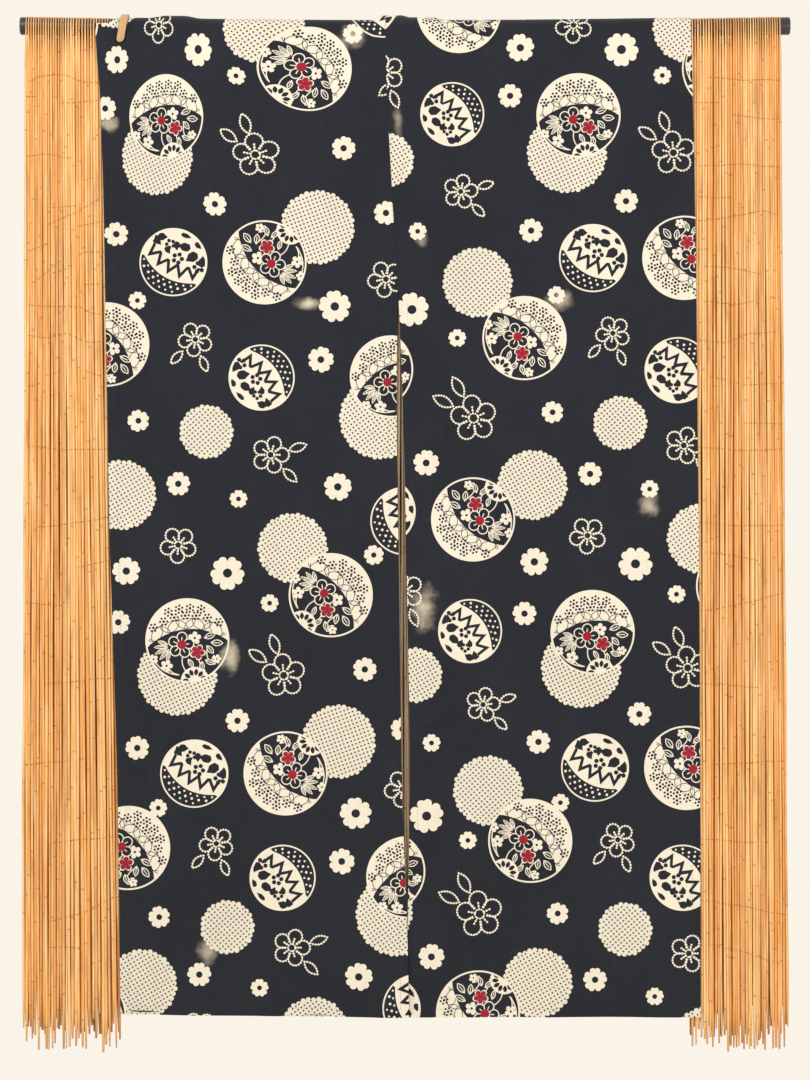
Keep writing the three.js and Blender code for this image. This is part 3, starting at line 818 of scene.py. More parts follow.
@dataclass
class PrintChart:
    """The printed repeat: which motifs stand where, and how it runs on each panel."""

    down: float = 511.6
    across: float = 432.0
    drawn: dict[tuple, Drawing] = field(default_factory=dict)

    def motif(self, motif: Motif, rough: bool) -> Drawing:
        """The drawing of one motif, made once, as it shows in front or roughly as it shows behind."""
        key = (motif.kind, motif.size, motif.leaves, rough)
        if key not in self.drawn:
            if rough:
                drawing = draw_rough(motif.kind, motif.size)
            elif motif.kind == "bead":
                leaves = tuple(a - motif.turn + 90 for a in motif.leaves)
                drawing = draw_bead_flower(motif.size, leaves)
            else:
                drawing = DRAWERS[motif.kind](motif.size)
            self.drawn[key] = drawing
        return self.drawn[key]

    def copies(self, panel: "ClothPanel", rough: bool = False) -> Drawing:
        """Every motif on one panel, in chart steps, ready to be painted.

        Args:
            panel: The panel.
            rough: True for what shows through on the back.

        Returns:
            The print.
        """
        whole = Drawing()
        steps = [(down, across) for down in (-1, 0, 1, 2) for across in (-1, 0, 1)]
        for motif in REPEAT:
            for down, across in steps:
                x, y = self.place(panel, motif, down, across)
                if y > 1080 or y < -90:
                    continue
                size = 1.0 if motif.kind in ("kanoko", "blossom") else motif.size
                turn = math.radians(motif.turn + TURN_OF[motif.kind])
                whole.outlines += self.motif(motif, rough).placed(x, y, turn, size).outlines
        if panel.slips:
            whole.outlines = [(self.drawn_in(outline), ink) for outline, ink in whole.outlines]
        return whole

    def drawn_in(self, outline: Points) -> Points:
        """Narrows the print a little where the slipped corner pulls the cloth together."""
        aside = outline[:, 0] - 166
        amount = (0.12 + 0.08 * (1 - smooth(outline[:, 1], 60, 110))) * (1 - smooth(outline[:, 1], 150, 230))
        amount = amount * (1 - smooth(np.abs(aside), 60, 150))
        return np.stack([166 + aside * (1 - amount), outline[:, 1]], axis=1)

    def place(self, panel: "ClothPanel", motif: Motif, down: int, across: int) -> tuple[float, float]:
        """Where a copy of a motif lies on the chart, with the drift of the panel's own print."""
        y = motif.y + self.down * down - 0.0941 * down * (motif.y - 500) - 24.1 * down * down
        y += 0.2 * max(0.0, 77 - y)
        if panel.slips:
            x = motif.x + 21 * down + self.across * across
            lean = (1 - float(smooth(x, 110, 160))) * (1 - float(smooth(y, 130, 230)))
            drift = 4.5 * float(smooth(y, 640, 720)) + 4.5 * float(smooth(y, 940, 1000))
            return x - drift * float(smooth(x, 380, 400)), y + 12 * lean
        flat = motif.y + 9.2e-5 * (motif.y - 500) ** 2
        y += float(np.interp(y, (60, 250, 480, 600, 750, 900, 985), (0, -4, -10, -9, -6, -4, 4)))
        x = motif.x - 0.041 * (flat - 500) + 410 + self.across * across
        x -= 14 * (1 - float(smooth(y, 190, 270))) + 7 * float(bell(x - 396, 30) * bell(y - 165, 30))
        x += 6 * float(bell(x - 418, 14) * bell(y - 231, 20))
        x -= 4.5 * (1 - float(smooth(x, 420, 440))) * (1 - float(smooth(y, 330, 400)))
        x += 12 * float(bell(x - 450, 50) * bell(y - 745, 110))
        y += float(smooth(y, 800, 900)) * float(np.interp(x, DROPS[0], DROPS[1]))
        near = (1 - float(smooth(x, 385, 430))) * (1 - float(smooth(y, 930, 980)))
        return x + 5 * (1 + near) * float(smooth(y, 740, 830)), y


DROPS = ((375, 430, 480, 527, 557, 600, 690), (-2, -10, -6, -6, 0, 4, 5))
DRAWERS = {"kanoko": draw_kanoko, "temari": draw_temari, "medallion": draw_medallion,
           "blossom": draw_blossom}
TURN_OF = {"kanoko": 0.0, "bead": -90.0, "medallion": 90.0, "temari": 90.0, "blossom": -90.0}


def new_mesh(name: str, points: Points, faces: Points, finishes: list, choice: Points | None = None,
             smooth_faces: bool = True) -> bpy.types.Object:
    """Makes a mesh object.

    Args:
        name: Its name.
        points: Its vertices.
        faces: Its faces, as a list or array of vertex numbers.
        finishes: Its materials.
        choice: The material of each face, or None for the first.
        smooth_faces: True for a smooth surface.

    Returns:
        The object, linked to the scene.
    """
    mesh = bpy.data.meshes.new(name)
    mesh.from_pydata(np.asarray(points).tolist(), [], [list(map(int, f)) for f in faces])
    for finish in finishes:
        mesh.materials.append(finish)
    if choice is not None:
        mesh.polygons.foreach_set("material_index", np.asarray(choice, np.int32))
    mesh.polygons.foreach_set("use_smooth", np.full(len(mesh.polygons), smooth_faces))
    mesh.update()
    made = bpy.data.objects.new(name, mesh)
    bpy.context.scene.collection.objects.link(made)
    return made


def keep_on_points(made: bpy.types.Object, name: str, values: Points) -> None:
    """Keeps a number or a vector on each point of a mesh, for its finish to read."""
    values = np.asarray(values, np.float32)
    kind, key = ("FLOAT", "value") if values.ndim == 1 else ("FLOAT_VECTOR", "vector")
    made.data.attributes.new(name, kind, "POINT").data.foreach_set(key, values.ravel())


def skin(grid: Points) -> Points:
    """The faces between the lines of a tube, from rows of its point numbers along it."""
    after = np.roll(grid, -1, axis=0)
    return np.stack([grid[:, :-1], after[:, :-1], after[:, 1:], grid[:, 1:]], axis=2).reshape(-1, 4)


@dataclass
class FlatCut:
    """A panel's cloth laid flat and cut: millimetre points, triangles, inks and the outline's points."""

    points: Points
    triangles: Points
    inks: Points
    ring: Points


# Distances from a pressed crease at which it has rows of points, in millimetres.
CREASE_ROWS = (-3.6, -1.8, 0.0, 1.8, 3.6)


@dataclass
class ClothBuilder:
    """Turns a panel and its print into a cloth with a front, a back and turned hems."""

    panel: ClothPanel
    thickness: float = 0.9 * MM
    hem_extra: float = 0.8 * MM
    hem_width: float = 13 * MM
    hem_fade: float = 1.6 * MM
    row: float = 10 * MM
    fine_row: float = 3 * MM
    turn_reach: float = 36 * MM
    edge_round: float = 0.35 * MM

    def boundary(self, step: float) -> Points:
        """The cut's outline in millimetres, anticlockwise with x across and y up (minus length)."""
        panel = self.panel
        count = int(panel.width / step)
        across = np.linspace(0, 1, count + 1)
        hem = panel.hem_length(across)
        head = panel.heading_end(panel.top_x(across))
        rows = int((hem[0] - head[0]) / step)
        left = np.linspace(head[0], hem[0], rows + 1)[1:-1]
        right = np.linspace(hem[-1], head[-1], rows + 1)[1:-1]
        loop = [np.stack([0 * left, left], 1), np.stack([across * panel.width, hem], 1),
                np.stack([0 * right + panel.width, right], 1),
                np.stack([across[::-1] * panel.width, head[::-1]], 1)]
        ring = np.concatenate(loop)
        return np.stack([ring[:, 0], -ring[:, 1]], 1) / MM

    def turn_rows(self) -> Points:
        """Lengths of the heading's rows, and of the close rows where the cloth bends over the rod."""
        heading = np.arange(-0.09, -self.turn_reach, 0.012)
        return np.concatenate([heading, np.arange(-self.turn_reach, self.turn_reach, self.fine_row)])

    def grid(self, columns: Points, rows: Points) -> Points:
        """Plain points inside the cut, in millimetres."""
        u, s = np.meshgrid(columns, rows)
        return self.kept(u.ravel(), s.ravel())

    def kept(self, u: Points, s: Points) -> Points:
        """Those of some points that lie inside the cut, in millimetres."""
        panel = self.panel
        inside = (s > np.interp(u / panel.width, np.linspace(0, 1, 60),
                                panel.heading_end(panel.top_x(np.linspace(0, 1, 60)))) + 2 * MM)
        inside &= s < panel.hem_length(u / panel.width) - 0.5 * MM
        inside &= (u > 0.5 * MM) & (u < panel.width - 0.5 * MM)
        return np.stack([u, -s], 1)[inside] / MM

    def cut(self, drawing: Drawing, ring: Points, step: float, margin: float = 0.0) -> FlatCut:
        """Cuts the flat cloth into triangles that follow the print.

        Args:
            drawing: The print in chart steps.
            ring: The cut's outline in millimetres.
            step: Distance of the plain points.
            margin: Millimetres that the print keeps from the outline, or 0 to let it run off.

        Returns:
            The flat cut.
        """
        panel = self.panel
        columns = np.arange(step / 2, panel.width, step)
        hem = float(panel.hem_length(np.array([0.5]))[0])
        edge = self.hem_width
        columns = np.concatenate([columns, [edge, edge + self.hem_fade, panel.width - edge,
                                            panel.width - edge - self.hem_fade, 1.5 * MM,
                                            panel.width - 1.5 * MM, 3 * MM, panel.width - 3 * MM]])
        rows = np.concatenate([self.turn_rows(), np.arange(self.turn_reach, hem - 0.03, step),
                               hem - np.array([0.024, edge + self.hem_fade, edge, 0.006, 1.5 * MM])])
        parts = [ring, self.grid(columns, rows), self.shoulders(hem), *self.crease_points()]
        faces = [list(range(len(ring)))]
        inks = [Ink.NAVY]
        offset = sum(len(p) for p in parts)
        low, high = ring.min(axis=0) - 2, ring.max(axis=0) + 2
        for outline, ink in drawing.outlines:
            flat = panel.from_chart(outline) / MM * (1, -1)
            if (flat.max(axis=0) < low).any() or (flat.min(axis=0) > high).any():
                continue
            if margin:
                flat = self.clipped(flat, margin)
                if len(flat) < 3:
                    continue
            area = np.sum(flat[:, 0] * np.roll(flat[:, 1], -1) - flat[:, 1] * np.roll(flat[:, 0], -1))
            if abs(area) < 0.5:
                continue
            if area < 0:
                flat = flat[::-1]
            parts.append(flat)
            faces.append(list(range(offset, offset + len(flat))))
            inks.append(ink)
            offset += len(flat)
        verts = [Vector(p) for p in np.concatenate(parts)]
        result = delaunay_2d_cdt(verts, [], faces, 0, 1e-5, True)
        points = np.array([tuple(v) for v in result[0]])
        owners = result[5]
        kept, chosen = [], []
        ink_of = [ink.value for ink in inks]
        for face, owner in zip(result[2], owners):
            if 0 in owner:
                kept.append(face)
                chosen.append(ink_of[max(owner)])
        found = {first: i for i, firsts in enumerate(result[3]) for first in firsts if first < len(ring)}
        edge_points = np.array([found[i] for i in range(len(ring))])
        return FlatCut(points, np.array(kept, np.int64), np.array(chosen, np.int64), edge_points)

    def shoulders(self, hem: float) -> Points:
        """Close points where the cloth climbs over what lies under it, in millimetres.

        Args:
            hem: Length from the rod's top to the hem.

        Returns:
            The points.
        """
        panel = self.panel
        rows = np.concatenate([self.turn_rows(), np.arange(self.turn_reach, hem - 0.012, 0.02),
                               [hem - 6 * MM]])
        z = drape_over(rows, np.full(rows.shape, panel.rest_radius))[1]
        z = np.where(rows < 0, EDGE_ROWS[0, 0], z)
        left, right = panel.edges(z)
        wide = right - left
        down = smooth(-z, 0, -panel.hem_right)
        points = []
        for rise in RISES:
            end = rise.end + (rise.end_at_hem - rise.end) * down
            for foot in np.linspace(0, 1, 8 if rise.over_rod > 5 else 5):
                for side in (rise.start - rise.shoulder * foot, end + rise.shoulder * foot):
                    u = (side * MM - left) / wide * panel.width
                    held = (u > 4 * MM) & (u < panel.width - 4 * MM)
                    points.append(self.kept(u[held], rows[held]))
        return np.concatenate(points)

    def clipped(self, flat: Points, margin: float) -> Points:
        """The part of an outline that lies a margin inside the cloth, below the rod, in millimetres."""
        panel = self.panel
        hem = -float(panel.hem_length(np.array([0.0, 0.5, 1.0])).min()) / MM
        for axis, sign, limit in ((0, 1, margin), (0, -1, margin - panel.width / MM),
                                  (1, 1, hem + margin), (1, -1, 24.0)):
            kept = []
            for here, after in zip(flat, np.roll(flat, -1, axis=0)):
                now, then = sign * here[axis] - limit, sign * after[axis] - limit
                if now >= 0:
                    kept.append(here)
                if (now >= 0) != (then >= 0):
                    kept.append(here + (after - here) * now / (now - then))
            if len(kept) < 3:
                return np.zeros((0, 2))
            flat = np.array(kept)
        return flat

    def crease_points(self) -> list[Points]:
        """Close rows of points along the pressed creases, so that they keep their shape."""
        panel = self.panel
        quarter = panel.rest_radius * math.pi / 2
        rows = []
        down = np.arange(0.06, 1.45, 6 * MM)
        line = np.full(len(down), panel.upright_crease * panel.width)
        for aside in CREASE_ROWS:
            rows.append(np.stack([line / MM + aside, -down / MM], 1))
        for crease in panel.creases:
            start, end = max(crease.start - 0.05, 0.01), min(crease.end + 0.05, 0.99)
            across = np.arange(start, end, 6 * MM / panel.width)
            level = -crease.height * MM - crease.slope * (across - 0.5) * panel.width
            for aside in CREASE_ROWS:
                rows.append(np.stack([across * panel.width / MM, -(level + quarter) / MM + aside], 1))
        for pucker in panel.puckers:
            u = pucker.at * panel.width + np.linspace(-1.8, 1.8, 13) * pucker.wide * MM
            s = -pucker.height * MM + quarter + np.linspace(-2.0, 2.0, 25) * pucker.tall * MM
            held = (u > 4 * MM) & (u < panel.width - 4 * MM)
            rows.append(self.grid(u[held], s[s > 0]))
        return rows

    def swell(self, flat: Points) -> Points:
        """Half of the cloth's thickness at flat points: thicker in the turned hems."""
        panel = self.panel
        u, s = flat[:, 0] * MM, -flat[:, 1] * MM
        side = np.minimum(u, panel.width - u)
        below = panel.hem_length(np.clip(u / panel.width, 0, 1)) - s
        near = np.minimum(side, below)
        hem = 1 - smooth(near, self.hem_width, self.hem_width + self.hem_fade)
        return (self.thickness + hem * smooth(s, 0.0, 60 * MM) * self.hem_extra) / 2

    def lay(self, flat: Points, side: float) -> tuple[Points, Points]:
        """Places flat points on the hanging cloth.

        Args:
            flat: Points in millimetres.
            side: 1 for the front skin and -1 for the back.

        Returns:
            The points and their outward normals.
        """
        panel = self.panel
        across = np.clip(flat[:, 0] * MM / panel.width, 0, 1)
        s = -flat[:, 1] * MM
        out = panel.facing(across, s)
        extra = self.swell(flat) - self.thickness / 2
        depth = self.thickness / 2 + (0.25 if side > 0 else 1.75) * extra
        near = np.minimum(np.minimum(across, 1 - across) * panel.width, panel.hem_length(across) - s)
        depth = depth - self.edge_round * (1 - smooth(near, 0.0, 1.5 * MM))
        return panel.point(across, s) + out * (side * depth)[:, None], out * side

    def uv(self, flat: Points, triangles: Points, side: float) -> Points:
        """Map places of the triangles' corners: the front in two halves, the back small beside it."""
        middle = flat[triangles].mean(axis=1)
        spot = flat[triangles]
        u, v = spot[..., 0] / 1000, (spot[..., 1] + 1470) / 1000
        if side < 0:
            return np.stack([0.02 + v * 0.27, 0.88 + u * 0.25], -1)
        lower = (middle[:, 1] < -700)[:, None]
        x = np.where(lower, u, u + 0.46)
        y = np.where(lower, v, v - 0.77)
        return np.stack([0.012 + x * 1.06, 0.012 + y * 1.06], -1)

    def build(self, name: str, chart: PrintChart, front: list, back: list) -> bpy.types.Object:
        """Builds the cloth.

        Args:
            name: The piece's name.
            chart: The print.
            front: The front's materials, in the order of Ink.
            back: The back's materials, in the same order.

        Returns:
            The cloth.
        """
        face = self.cut(chart.copies(self.panel), self.boundary(self.row), self.row)
        outline = traced_outline(face.triangles)
        rear = self.cut(chart.copies(self.panel, True), face.points[outline], self.row * 1.4, 1.6)
        front_points, front_out = self.lay(face.points, 1.0)
        back_points, back_out = self.lay(rear.points, -1.0)
        count = len(front_points)
        points = np.concatenate([front_points, back_points])
        behind = rear.ring + count
        rim = np.stack([np.roll(outline, -1), outline, behind, np.roll(behind, -1)], axis=1)
        triangles = np.concatenate([face.triangles, rear.triangles[:, ::-1] + count])
        choice = np.concatenate([face.inks, rear.inks + len(Ink), np.zeros(len(rim), np.int64)])
        made = new_mesh(name, points, triangles.tolist() + rim.tolist(), front + back, choice)
        mesh = made.data
        rim_out = np.cross(points[rim[:, 2]] - points[rim[:, 0]], points[rim[:, 3]] - points[rim[:, 1]])
        rim_out /= np.maximum(np.linalg.norm(rim_out, axis=1, keepdims=True), 1e-12)
        normals = np.concatenate([front_out, back_out])[triangles.ravel()]
        mesh.normals_split_custom_set(np.concatenate([normals, np.repeat(rim_out, 4, axis=0)]).tolist())
        spread = np.repeat(np.arange(len(rim)), 4)
        rim_x = 0.5 + (spread % 100) * 0.004 + np.tile([0, 0.003, 0.003, 0], len(rim))
        rim_y = 0.9 + (spread // 100) * 0.004 + np.tile([0, 0, 0.003, 0.003], len(rim))
        places = [self.uv(face.points, face.triangles, 1.0).reshape(-1, 2),
                  self.uv(rear.points, rear.triangles[:, ::-1], -1.0).reshape(-1, 2),
                  np.stack([rim_x, rim_y], axis=1)]
        uv = mesh.uv_layers.new(name="OFBake")
        uv.data.foreach_set("uv", np.concatenate(places).astype(np.float32).ravel())
        flat = np.concatenate([face.points, rear.points]) * MM
        keep_on_points(made, "cloth", np.pad(flat, ((0, 0), (0, 1))))
        log.info("%s: %d triangles in front, %d behind", name, len(face.triangles), len(rear.triangles))
        return made


def traced_outline(triangles: Points) -> Points:
    """The outline of a flat cut as one ordered ring of point numbers."""
    edges = np.concatenate([triangles[:, [0, 1]], triangles[:, [1, 2]], triangles[:, [2, 0]]])
    low, high = edges.min(axis=1), edges.max(axis=1)
    key = low * (int(triangles.max()) + 1) + high
    _, where, times = np.unique(key, return_index=True, return_counts=True)
    follows = {int(a): int(b) for a, b in edges[where[times == 1]]}
    start = here = next(iter(follows))
    ring = [start]
    while follows[here] != start:
        here = follows[here]
        ring.append(here)
    return np.array(ring)


Colour = tuple[float, float, float]


@dataclass
class Bench:
    """A node tree with short calls for adding and joining nodes."""

    tree: bpy.types.NodeTree

    def add(self, kind: str, settings: dict | None = None, **inputs) -> bpy.types.Node:
        """Adds a node.

        Args:
            kind: Its Blender type, without the ShaderNode in front.
            settings: Its properties.
            inputs: Values or sockets for its inputs; i0, i1 and so on go by number.

        Returns:
            The node.
        """
        node = self.tree.nodes.new("ShaderNode" + kind)
        for key, value in (settings or {}).items():
            setattr(node, key, value)
        for key, value in inputs.items():
            numbered = key[0] == "i" and key[1:].isdigit()
            socket = node.inputs[int(key[1:]) if numbered else key.replace("_", " ")]
            self.give(socket, value)
        return node

    def give(self, socket: bpy.types.NodeSocket, value) -> None:
        """Links a socket to another, or sets its value."""
        if isinstance(value, bpy.types.NodeSocket):
            self.tree.links.new(value, socket)
        elif isinstance(value, tuple) and len(value) == 3 and socket.type == "RGBA":
            socket.default_value = (*value, 1.0)
        else:
            socket.default_value = value

    def math(self, operation: str, *values) -> bpy.types.NodeSocket:
        """A number from one or more numbers."""
        inputs = {f"i{i}": value for i, value in enumerate(values)}
        return self.add("Math", {"operation": operation}, **inputs).outputs[0]

    def noise(self, vector: bpy.types.NodeSocket, scale: Colour, detail: float = 3.0) -> bpy.types.NodeSocket:
        """Noise on a vector that is scaled first."""
        scaled = self.add("VectorMath", {"operation": "MULTIPLY"}, i0=vector, i1=scale).outputs[0]
        return self.add("TexNoise", Vector=scaled, Scale=1.0, Detail=detail, Roughness=0.55).outputs[0]

    def ramp(self, value: bpy.types.NodeSocket, low: float, high: float, first: float = 0.0,
             last: float = 1.0) -> bpy.types.NodeSocket:
        """A smooth step from first to last while value goes from low to high."""
        settings = {"interpolation_type": "SMOOTHSTEP"}
        return self.add("MapRange", settings, i0=value, i1=low, i2=high, i3=first, i4=last).outputs[0]

    def mix(self, share, one, other) -> bpy.types.NodeSocket:
        """A colour between two colours."""
        node = self.add("Mix", {"data_type": "RGBA"})
        self.give(node.inputs[0], share)
        self.give(node.inputs[6], one)
        self.give(node.inputs[7], other)
        return node.outputs[2]

    def attribute(self, name: str) -> bpy.types.NodeSocket:
        """A vector kept on the mesh's points."""
        return self.add("Attribute", {"attribute_name": name}).outputs["Vector"]


@dataclass
class SharedEffects:
    """The shader groups that more than one material uses, each built once."""

    groups: dict[str, bpy.types.NodeTree] = field(default_factory=dict)

    def start(self, name: str, inputs: dict[str, str], outputs: dict[str, str]) -> tuple[Bench, dict, dict]:
        """Starts a group.

        Args:
            name: Its name.
            inputs: Kind of each input, by name.
            outputs: Kind of each output, by name.

        Returns:
            Its bench, its inputs as sockets, and its output sockets to be filled.
        """
        tree = bpy.data.node_groups.new(name, "ShaderNodeTree")
        for in_out, sockets in (("INPUT", inputs), ("OUTPUT", outputs)):
            for label, kind in sockets.items():
                tree.interface.new_socket(name=label, in_out=in_out, socket_type="NodeSocket" + kind)
        bench = Bench(tree)
        given = tree.nodes.new("NodeGroupInput")
        result = tree.nodes.new("NodeGroupOutput")
        self.groups[name] = tree
        return (bench, {n: given.outputs[n] for n in inputs}, {n: result.inputs[n] for n in outputs})

    def weave(self) -> bpy.types.NodeTree:
        """Plain weave: the height of its threads, their tone, and slubs along warp and weft."""
        if "weave" in self.groups:
            return self.groups["weave"]
        bench, given, out = self.start("weave", {"Vector": "Vector", "Threads": "Float"},
                                       {"Height": "Float", "Tone": "Float"})
        scaled = bench.add("VectorMath", {"operation": "SCALE"}, i0=given["Vector"], Scale=given["Threads"])
        parts = bench.add("SeparateXYZ", i0=scaled.outputs[0])
        warp = bench.math("SINE", bench.math("MULTIPLY", parts.outputs[0], 2 * math.pi))
        weft = bench.math("SINE", bench.math("MULTIPLY", parts.outputs[1], 2 * math.pi))
        crossing = bench.math("MULTIPLY", warp, weft)
        slub_down = bench.noise(given["Vector"], (900.0, 22.0, 1.0))
        slub_across = bench.noise(given["Vector"], (22.0, 900.0, 1.0))
        slubs = bench.math("ADD", slub_down, slub_across)
        bench.give(out["Height"], bench.math("MULTIPLY_ADD", crossing, 0.35, slubs))
        bench.give(out["Tone"], bench.ramp(slubs, 0.75, 1.3))
        return self.groups["weave"]

    def soft_mark(self) -> bpy.types.NodeTree:
        """A blurred mark: its share at a point, from its place, its reach and an uneven edge."""
        if "soft_mark" in self.groups:
            return self.groups["soft_mark"]
        bench, given, out = self.start(
            "soft_mark", {"Vector": "Vector", "Place": "Vector", "Reach": "Vector", "Strength": "Float"},
            {"Share": "Float"})
        away = bench.add("VectorMath", {"operation": "SUBTRACT"}, i0=given["Vector"], i1=given["Place"])
        rough = bench.add("TexNoise", Vector=given["Vector"], Scale=70.0, Detail=2.0)
        spread = bench.add("VectorMath", {"operation": "DIVIDE"}, i0=away.outputs[0], i1=given["Reach"])
        length = bench.add("VectorMath", {"operation": "LENGTH"}, i0=spread.outputs[0]).outputs["Value"]
        uneven = bench.math("MULTIPLY_ADD", rough.outputs[0], 1.1, length)
        near = bench.ramp(uneven, 0.45, 1.6, 1.0, 0.0)
        bench.give(out["Share"], bench.math("MULTIPLY", near, given["Strength"]))
        return self.groups["soft_mark"]

    def grain(self) -> bpy.types.NodeTree:
        """Lengthwise fibres of reed or wood: streaks, specks and a height."""
        if "grain" in self.groups:
            return self.groups["grain"]
        bench, given, out = self.start("grain", {"Vector": "Vector", "Fineness": "Float"},
                                       {"Streak": "Float", "Speck": "Float", "Height": "Float"})
        parts = bench.add("SeparateXYZ", i0=given["Vector"])
        across = bench.math("MULTIPLY", parts.outputs[0], given["Fineness"])
        seed = bench.math("MULTIPLY", parts.outputs[2], 57.0)
        joined = bench.add("CombineXYZ", i0=across, i1=parts.outputs[1], i2=seed).outputs[0]
        long_streak = bench.noise(joined, (1.0, 7.0, 1.0), 4.0)
        short_streak = bench.noise(joined, (2.3, 34.0, 1.0), 2.0)
        speck = bench.noise(joined, (2.0, 420.0, 1.0), 1.0)
        streak = bench.math("MULTIPLY_ADD", short_streak, 0.5, bench.math("MULTIPLY", long_streak, 0.75))
        bench.give(out["Streak"], bench.ramp(streak, 0.42, 0.86))
        bench.give(out["Speck"], bench.ramp(speck, 0.66, 0.78))
        bench.give(out["Height"], bench.math("ADD", streak, speck))
        return self.groups["grain"]


@dataclass(frozen=True)
class Stain:
    """A pale blurred mark on the cloth: chart place, reach in chart steps and strength."""

    x: float
    y: float
    wide: float
    tall: float
    strength: float


STAINS = (
    Stain(352, 38, 15, 15, 0.6), Stain(109, 124, 12, 10, 0.75), Stain(398, 122, 6, 22, 0.35),
    Stain(308, 304, 15, 8, 0.8), Stain(560, 301, 15, 13, 0.6), Stain(648, 505, 12, 15, 0.6),
    Stain(424, 608, 15, 26, 0.75), Stain(230, 657, 13, 18, 0.7), Stain(208, 950, 13, 16, 0.5),
    Stain(421, 241, 8, 9, 0.35),
)


def bump(bench: Bench, height: bpy.types.NodeSocket, strength: float,
         distance: float) -> bpy.types.NodeSocket:
    """A bumped normal from a height."""
    return bench.add("Bump", Height=height, Strength=strength, Distance=distance).outputs[0]


def new_material(name: str) -> tuple[bpy.types.Material, Bench, bpy.types.Node]:
    """A new material with its bench and its shader."""
    made = bpy.data.materials.new(name)
    made.use_nodes = True
    bench = Bench(made.node_tree)
    return made, bench, made.node_tree.nodes["Principled BSDF"]


@dataclass(frozen=True)
class ClothFinish:
    """Plain-weave cotton in one of the print's inks."""

    name: str
    dark: Colour
    light: Colour
    stained: Colour
    stains: tuple[Stain, ...] = STAINS
    threads: float = 1900.0
    roughness: float = 0.88
    sheen: float = 0.12

    def build(self, effects: SharedEffects) -> bpy.types.Material:
        """Makes the material."""
        made, bench, shader = new_material(self.name)
        spots = bench.attribute("cloth")
        weave = bench.add("Group", {"node_tree": effects.weave()}, Vector=spots, Threads=self.threads)
        cloudy = bench.ramp(bench.noise(spots, (9.0, 5.0, 1.0), 4.0), 0.3, 0.7)
        tone = bench.math("MULTIPLY_ADD", weave.outputs["Tone"], 0.65, bench.math("MULTIPLY", cloudy, 0.35))
        colour = bench.mix(tone, self.dark, self.light)
        position = bench.add("TexCoord").outputs["Object"]
        share = None
        for stain in self.stains:
            place = ((stain.x - CHART_MIDDLE) * CHART_STEP, 0.0, (CHART_ROD - stain.y) * CHART_STEP)
            reach = (stain.wide * CHART_STEP, 0.2, stain.tall * CHART_STEP)
            mark = bench.add("Group", {"node_tree": effects.soft_mark()}, Vector=position, Place=place,
                             Reach=reach, Strength=stain.strength).outputs[0]
            share = mark if share is None else bench.math("MAXIMUM", share, mark)
        if share is not None:
            colour = bench.mix(share, colour, self.stained)
        bench.give(shader.inputs["Base Color"], colour)
        bench.give(shader.inputs["Normal"], bump(bench, weave.outputs["Height"], 0.35, 0.25 * MM))
        shader.inputs["Roughness"].default_value = self.roughness
        shader.inputs["Sheen Weight"].default_value = self.sheen
        shader.inputs["Specular IOR Level"].default_value = 0.25
        return made


@dataclass(frozen=True)
class ReedFinish:
    """Split dried reed or bent light wood: tan, streaked along its length, faintly glossy, with a painted
    highlight down the middle of each rounded face and painted shade at its sides.
    """

    name: str
    gleam: Colour
    pale: Colour
    tan: Colour
    brown: Colour
    fineness: float = 1500.0
    node_every: float = 0.19
    knots: float = 0.55
    roughness: float = 0.48

    def build(self, effects: SharedEffects) -> bpy.types.Material:
        """Makes the material."""
        made, bench, shader = new_material(self.name)
        spots = bench.attribute("reed")
        parts = bench.add("SeparateXYZ", i0=spots)
        seed = parts.outputs[2]
        grain = bench.add("Group", {"node_tree": effects.grain()}, Vector=spots, Fineness=self.fineness)
        colour = bench.mix(bench.ramp(seed, 0.05, 0.95), self.tan, self.pale)
        warm = bench.ramp(bench.math("FRACT", bench.math("MULTIPLY", seed, 7.31)), 0.7, 1.0, 0.0, 0.45)
        colour = bench.mix(warm, colour, self.brown)
        # Painted highlight and painted shade: from the rim number, the middle of each rounded face is mixed
        # towards the gleam colour, and its sides towards brown.
        rim = bench.add("Attribute", {"attribute_name": "rim"}).outputs["Fac"]
        highlight_strength = bench.ramp(bench.math("FRACT", bench.math("MULTIPLY", seed, 3.7)), 0.25, 0.9, 0.1, 0.75)
        painted_highlight = bench.math("MULTIPLY", bench.ramp(rim, 0.15, 0.75, 1.0, 0.0), highlight_strength)
        colour = bench.mix(painted_highlight, colour, self.gleam)
        colour = bench.mix(bench.ramp(rim, 0.6, 1.0, 0.0, 0.4), colour, self.brown)
        patch = bench.noise(spots, (40.0, 9.0, 61.0), 3.0)
        colour = bench.mix(bench.ramp(patch, 0.5, 0.72, 0.0, 0.5), colour, self.gleam)
        colour = bench.mix(bench.ramp(patch, 0.28, 0.48, 0.4, 0.0), colour, self.brown)
        dark_streak = bench.math("MULTIPLY", grain.outputs["Streak"], 0.5)
        colour = bench.mix(dark_streak, colour, self.brown)
        along = bench.math("DIVIDE", parts.outputs[1], self.node_every)
        beat = bench.math("FRACT", bench.math("MULTIPLY_ADD", seed, 9.7, along))
        knot = bench.math("MULTIPLY", bench.ramp(bench.math("ABSOLUTE", bench.math("SUBTRACT", beat, 0.5)),
                                                 0.0, 0.012, 1.0, 0.0), self.knots)
        colour = bench.mix(knot, colour, self.brown)
        colour = bench.mix(bench.math("MULTIPLY", grain.outputs["Speck"], 0.5), colour, self.brown)
        bench.give(shader.inputs["Base Color"], colour)
        rough = bench.ramp(grain.outputs["Streak"], 0.0, 1.0, self.roughness - 0.08, self.roughness + 0.18)
        bench.give(shader.inputs["Roughness"], rough)
        bench.give(shader.inputs["Normal"], bump(bench, grain.outputs["Height"], 0.4, 0.2 * MM))
        return made


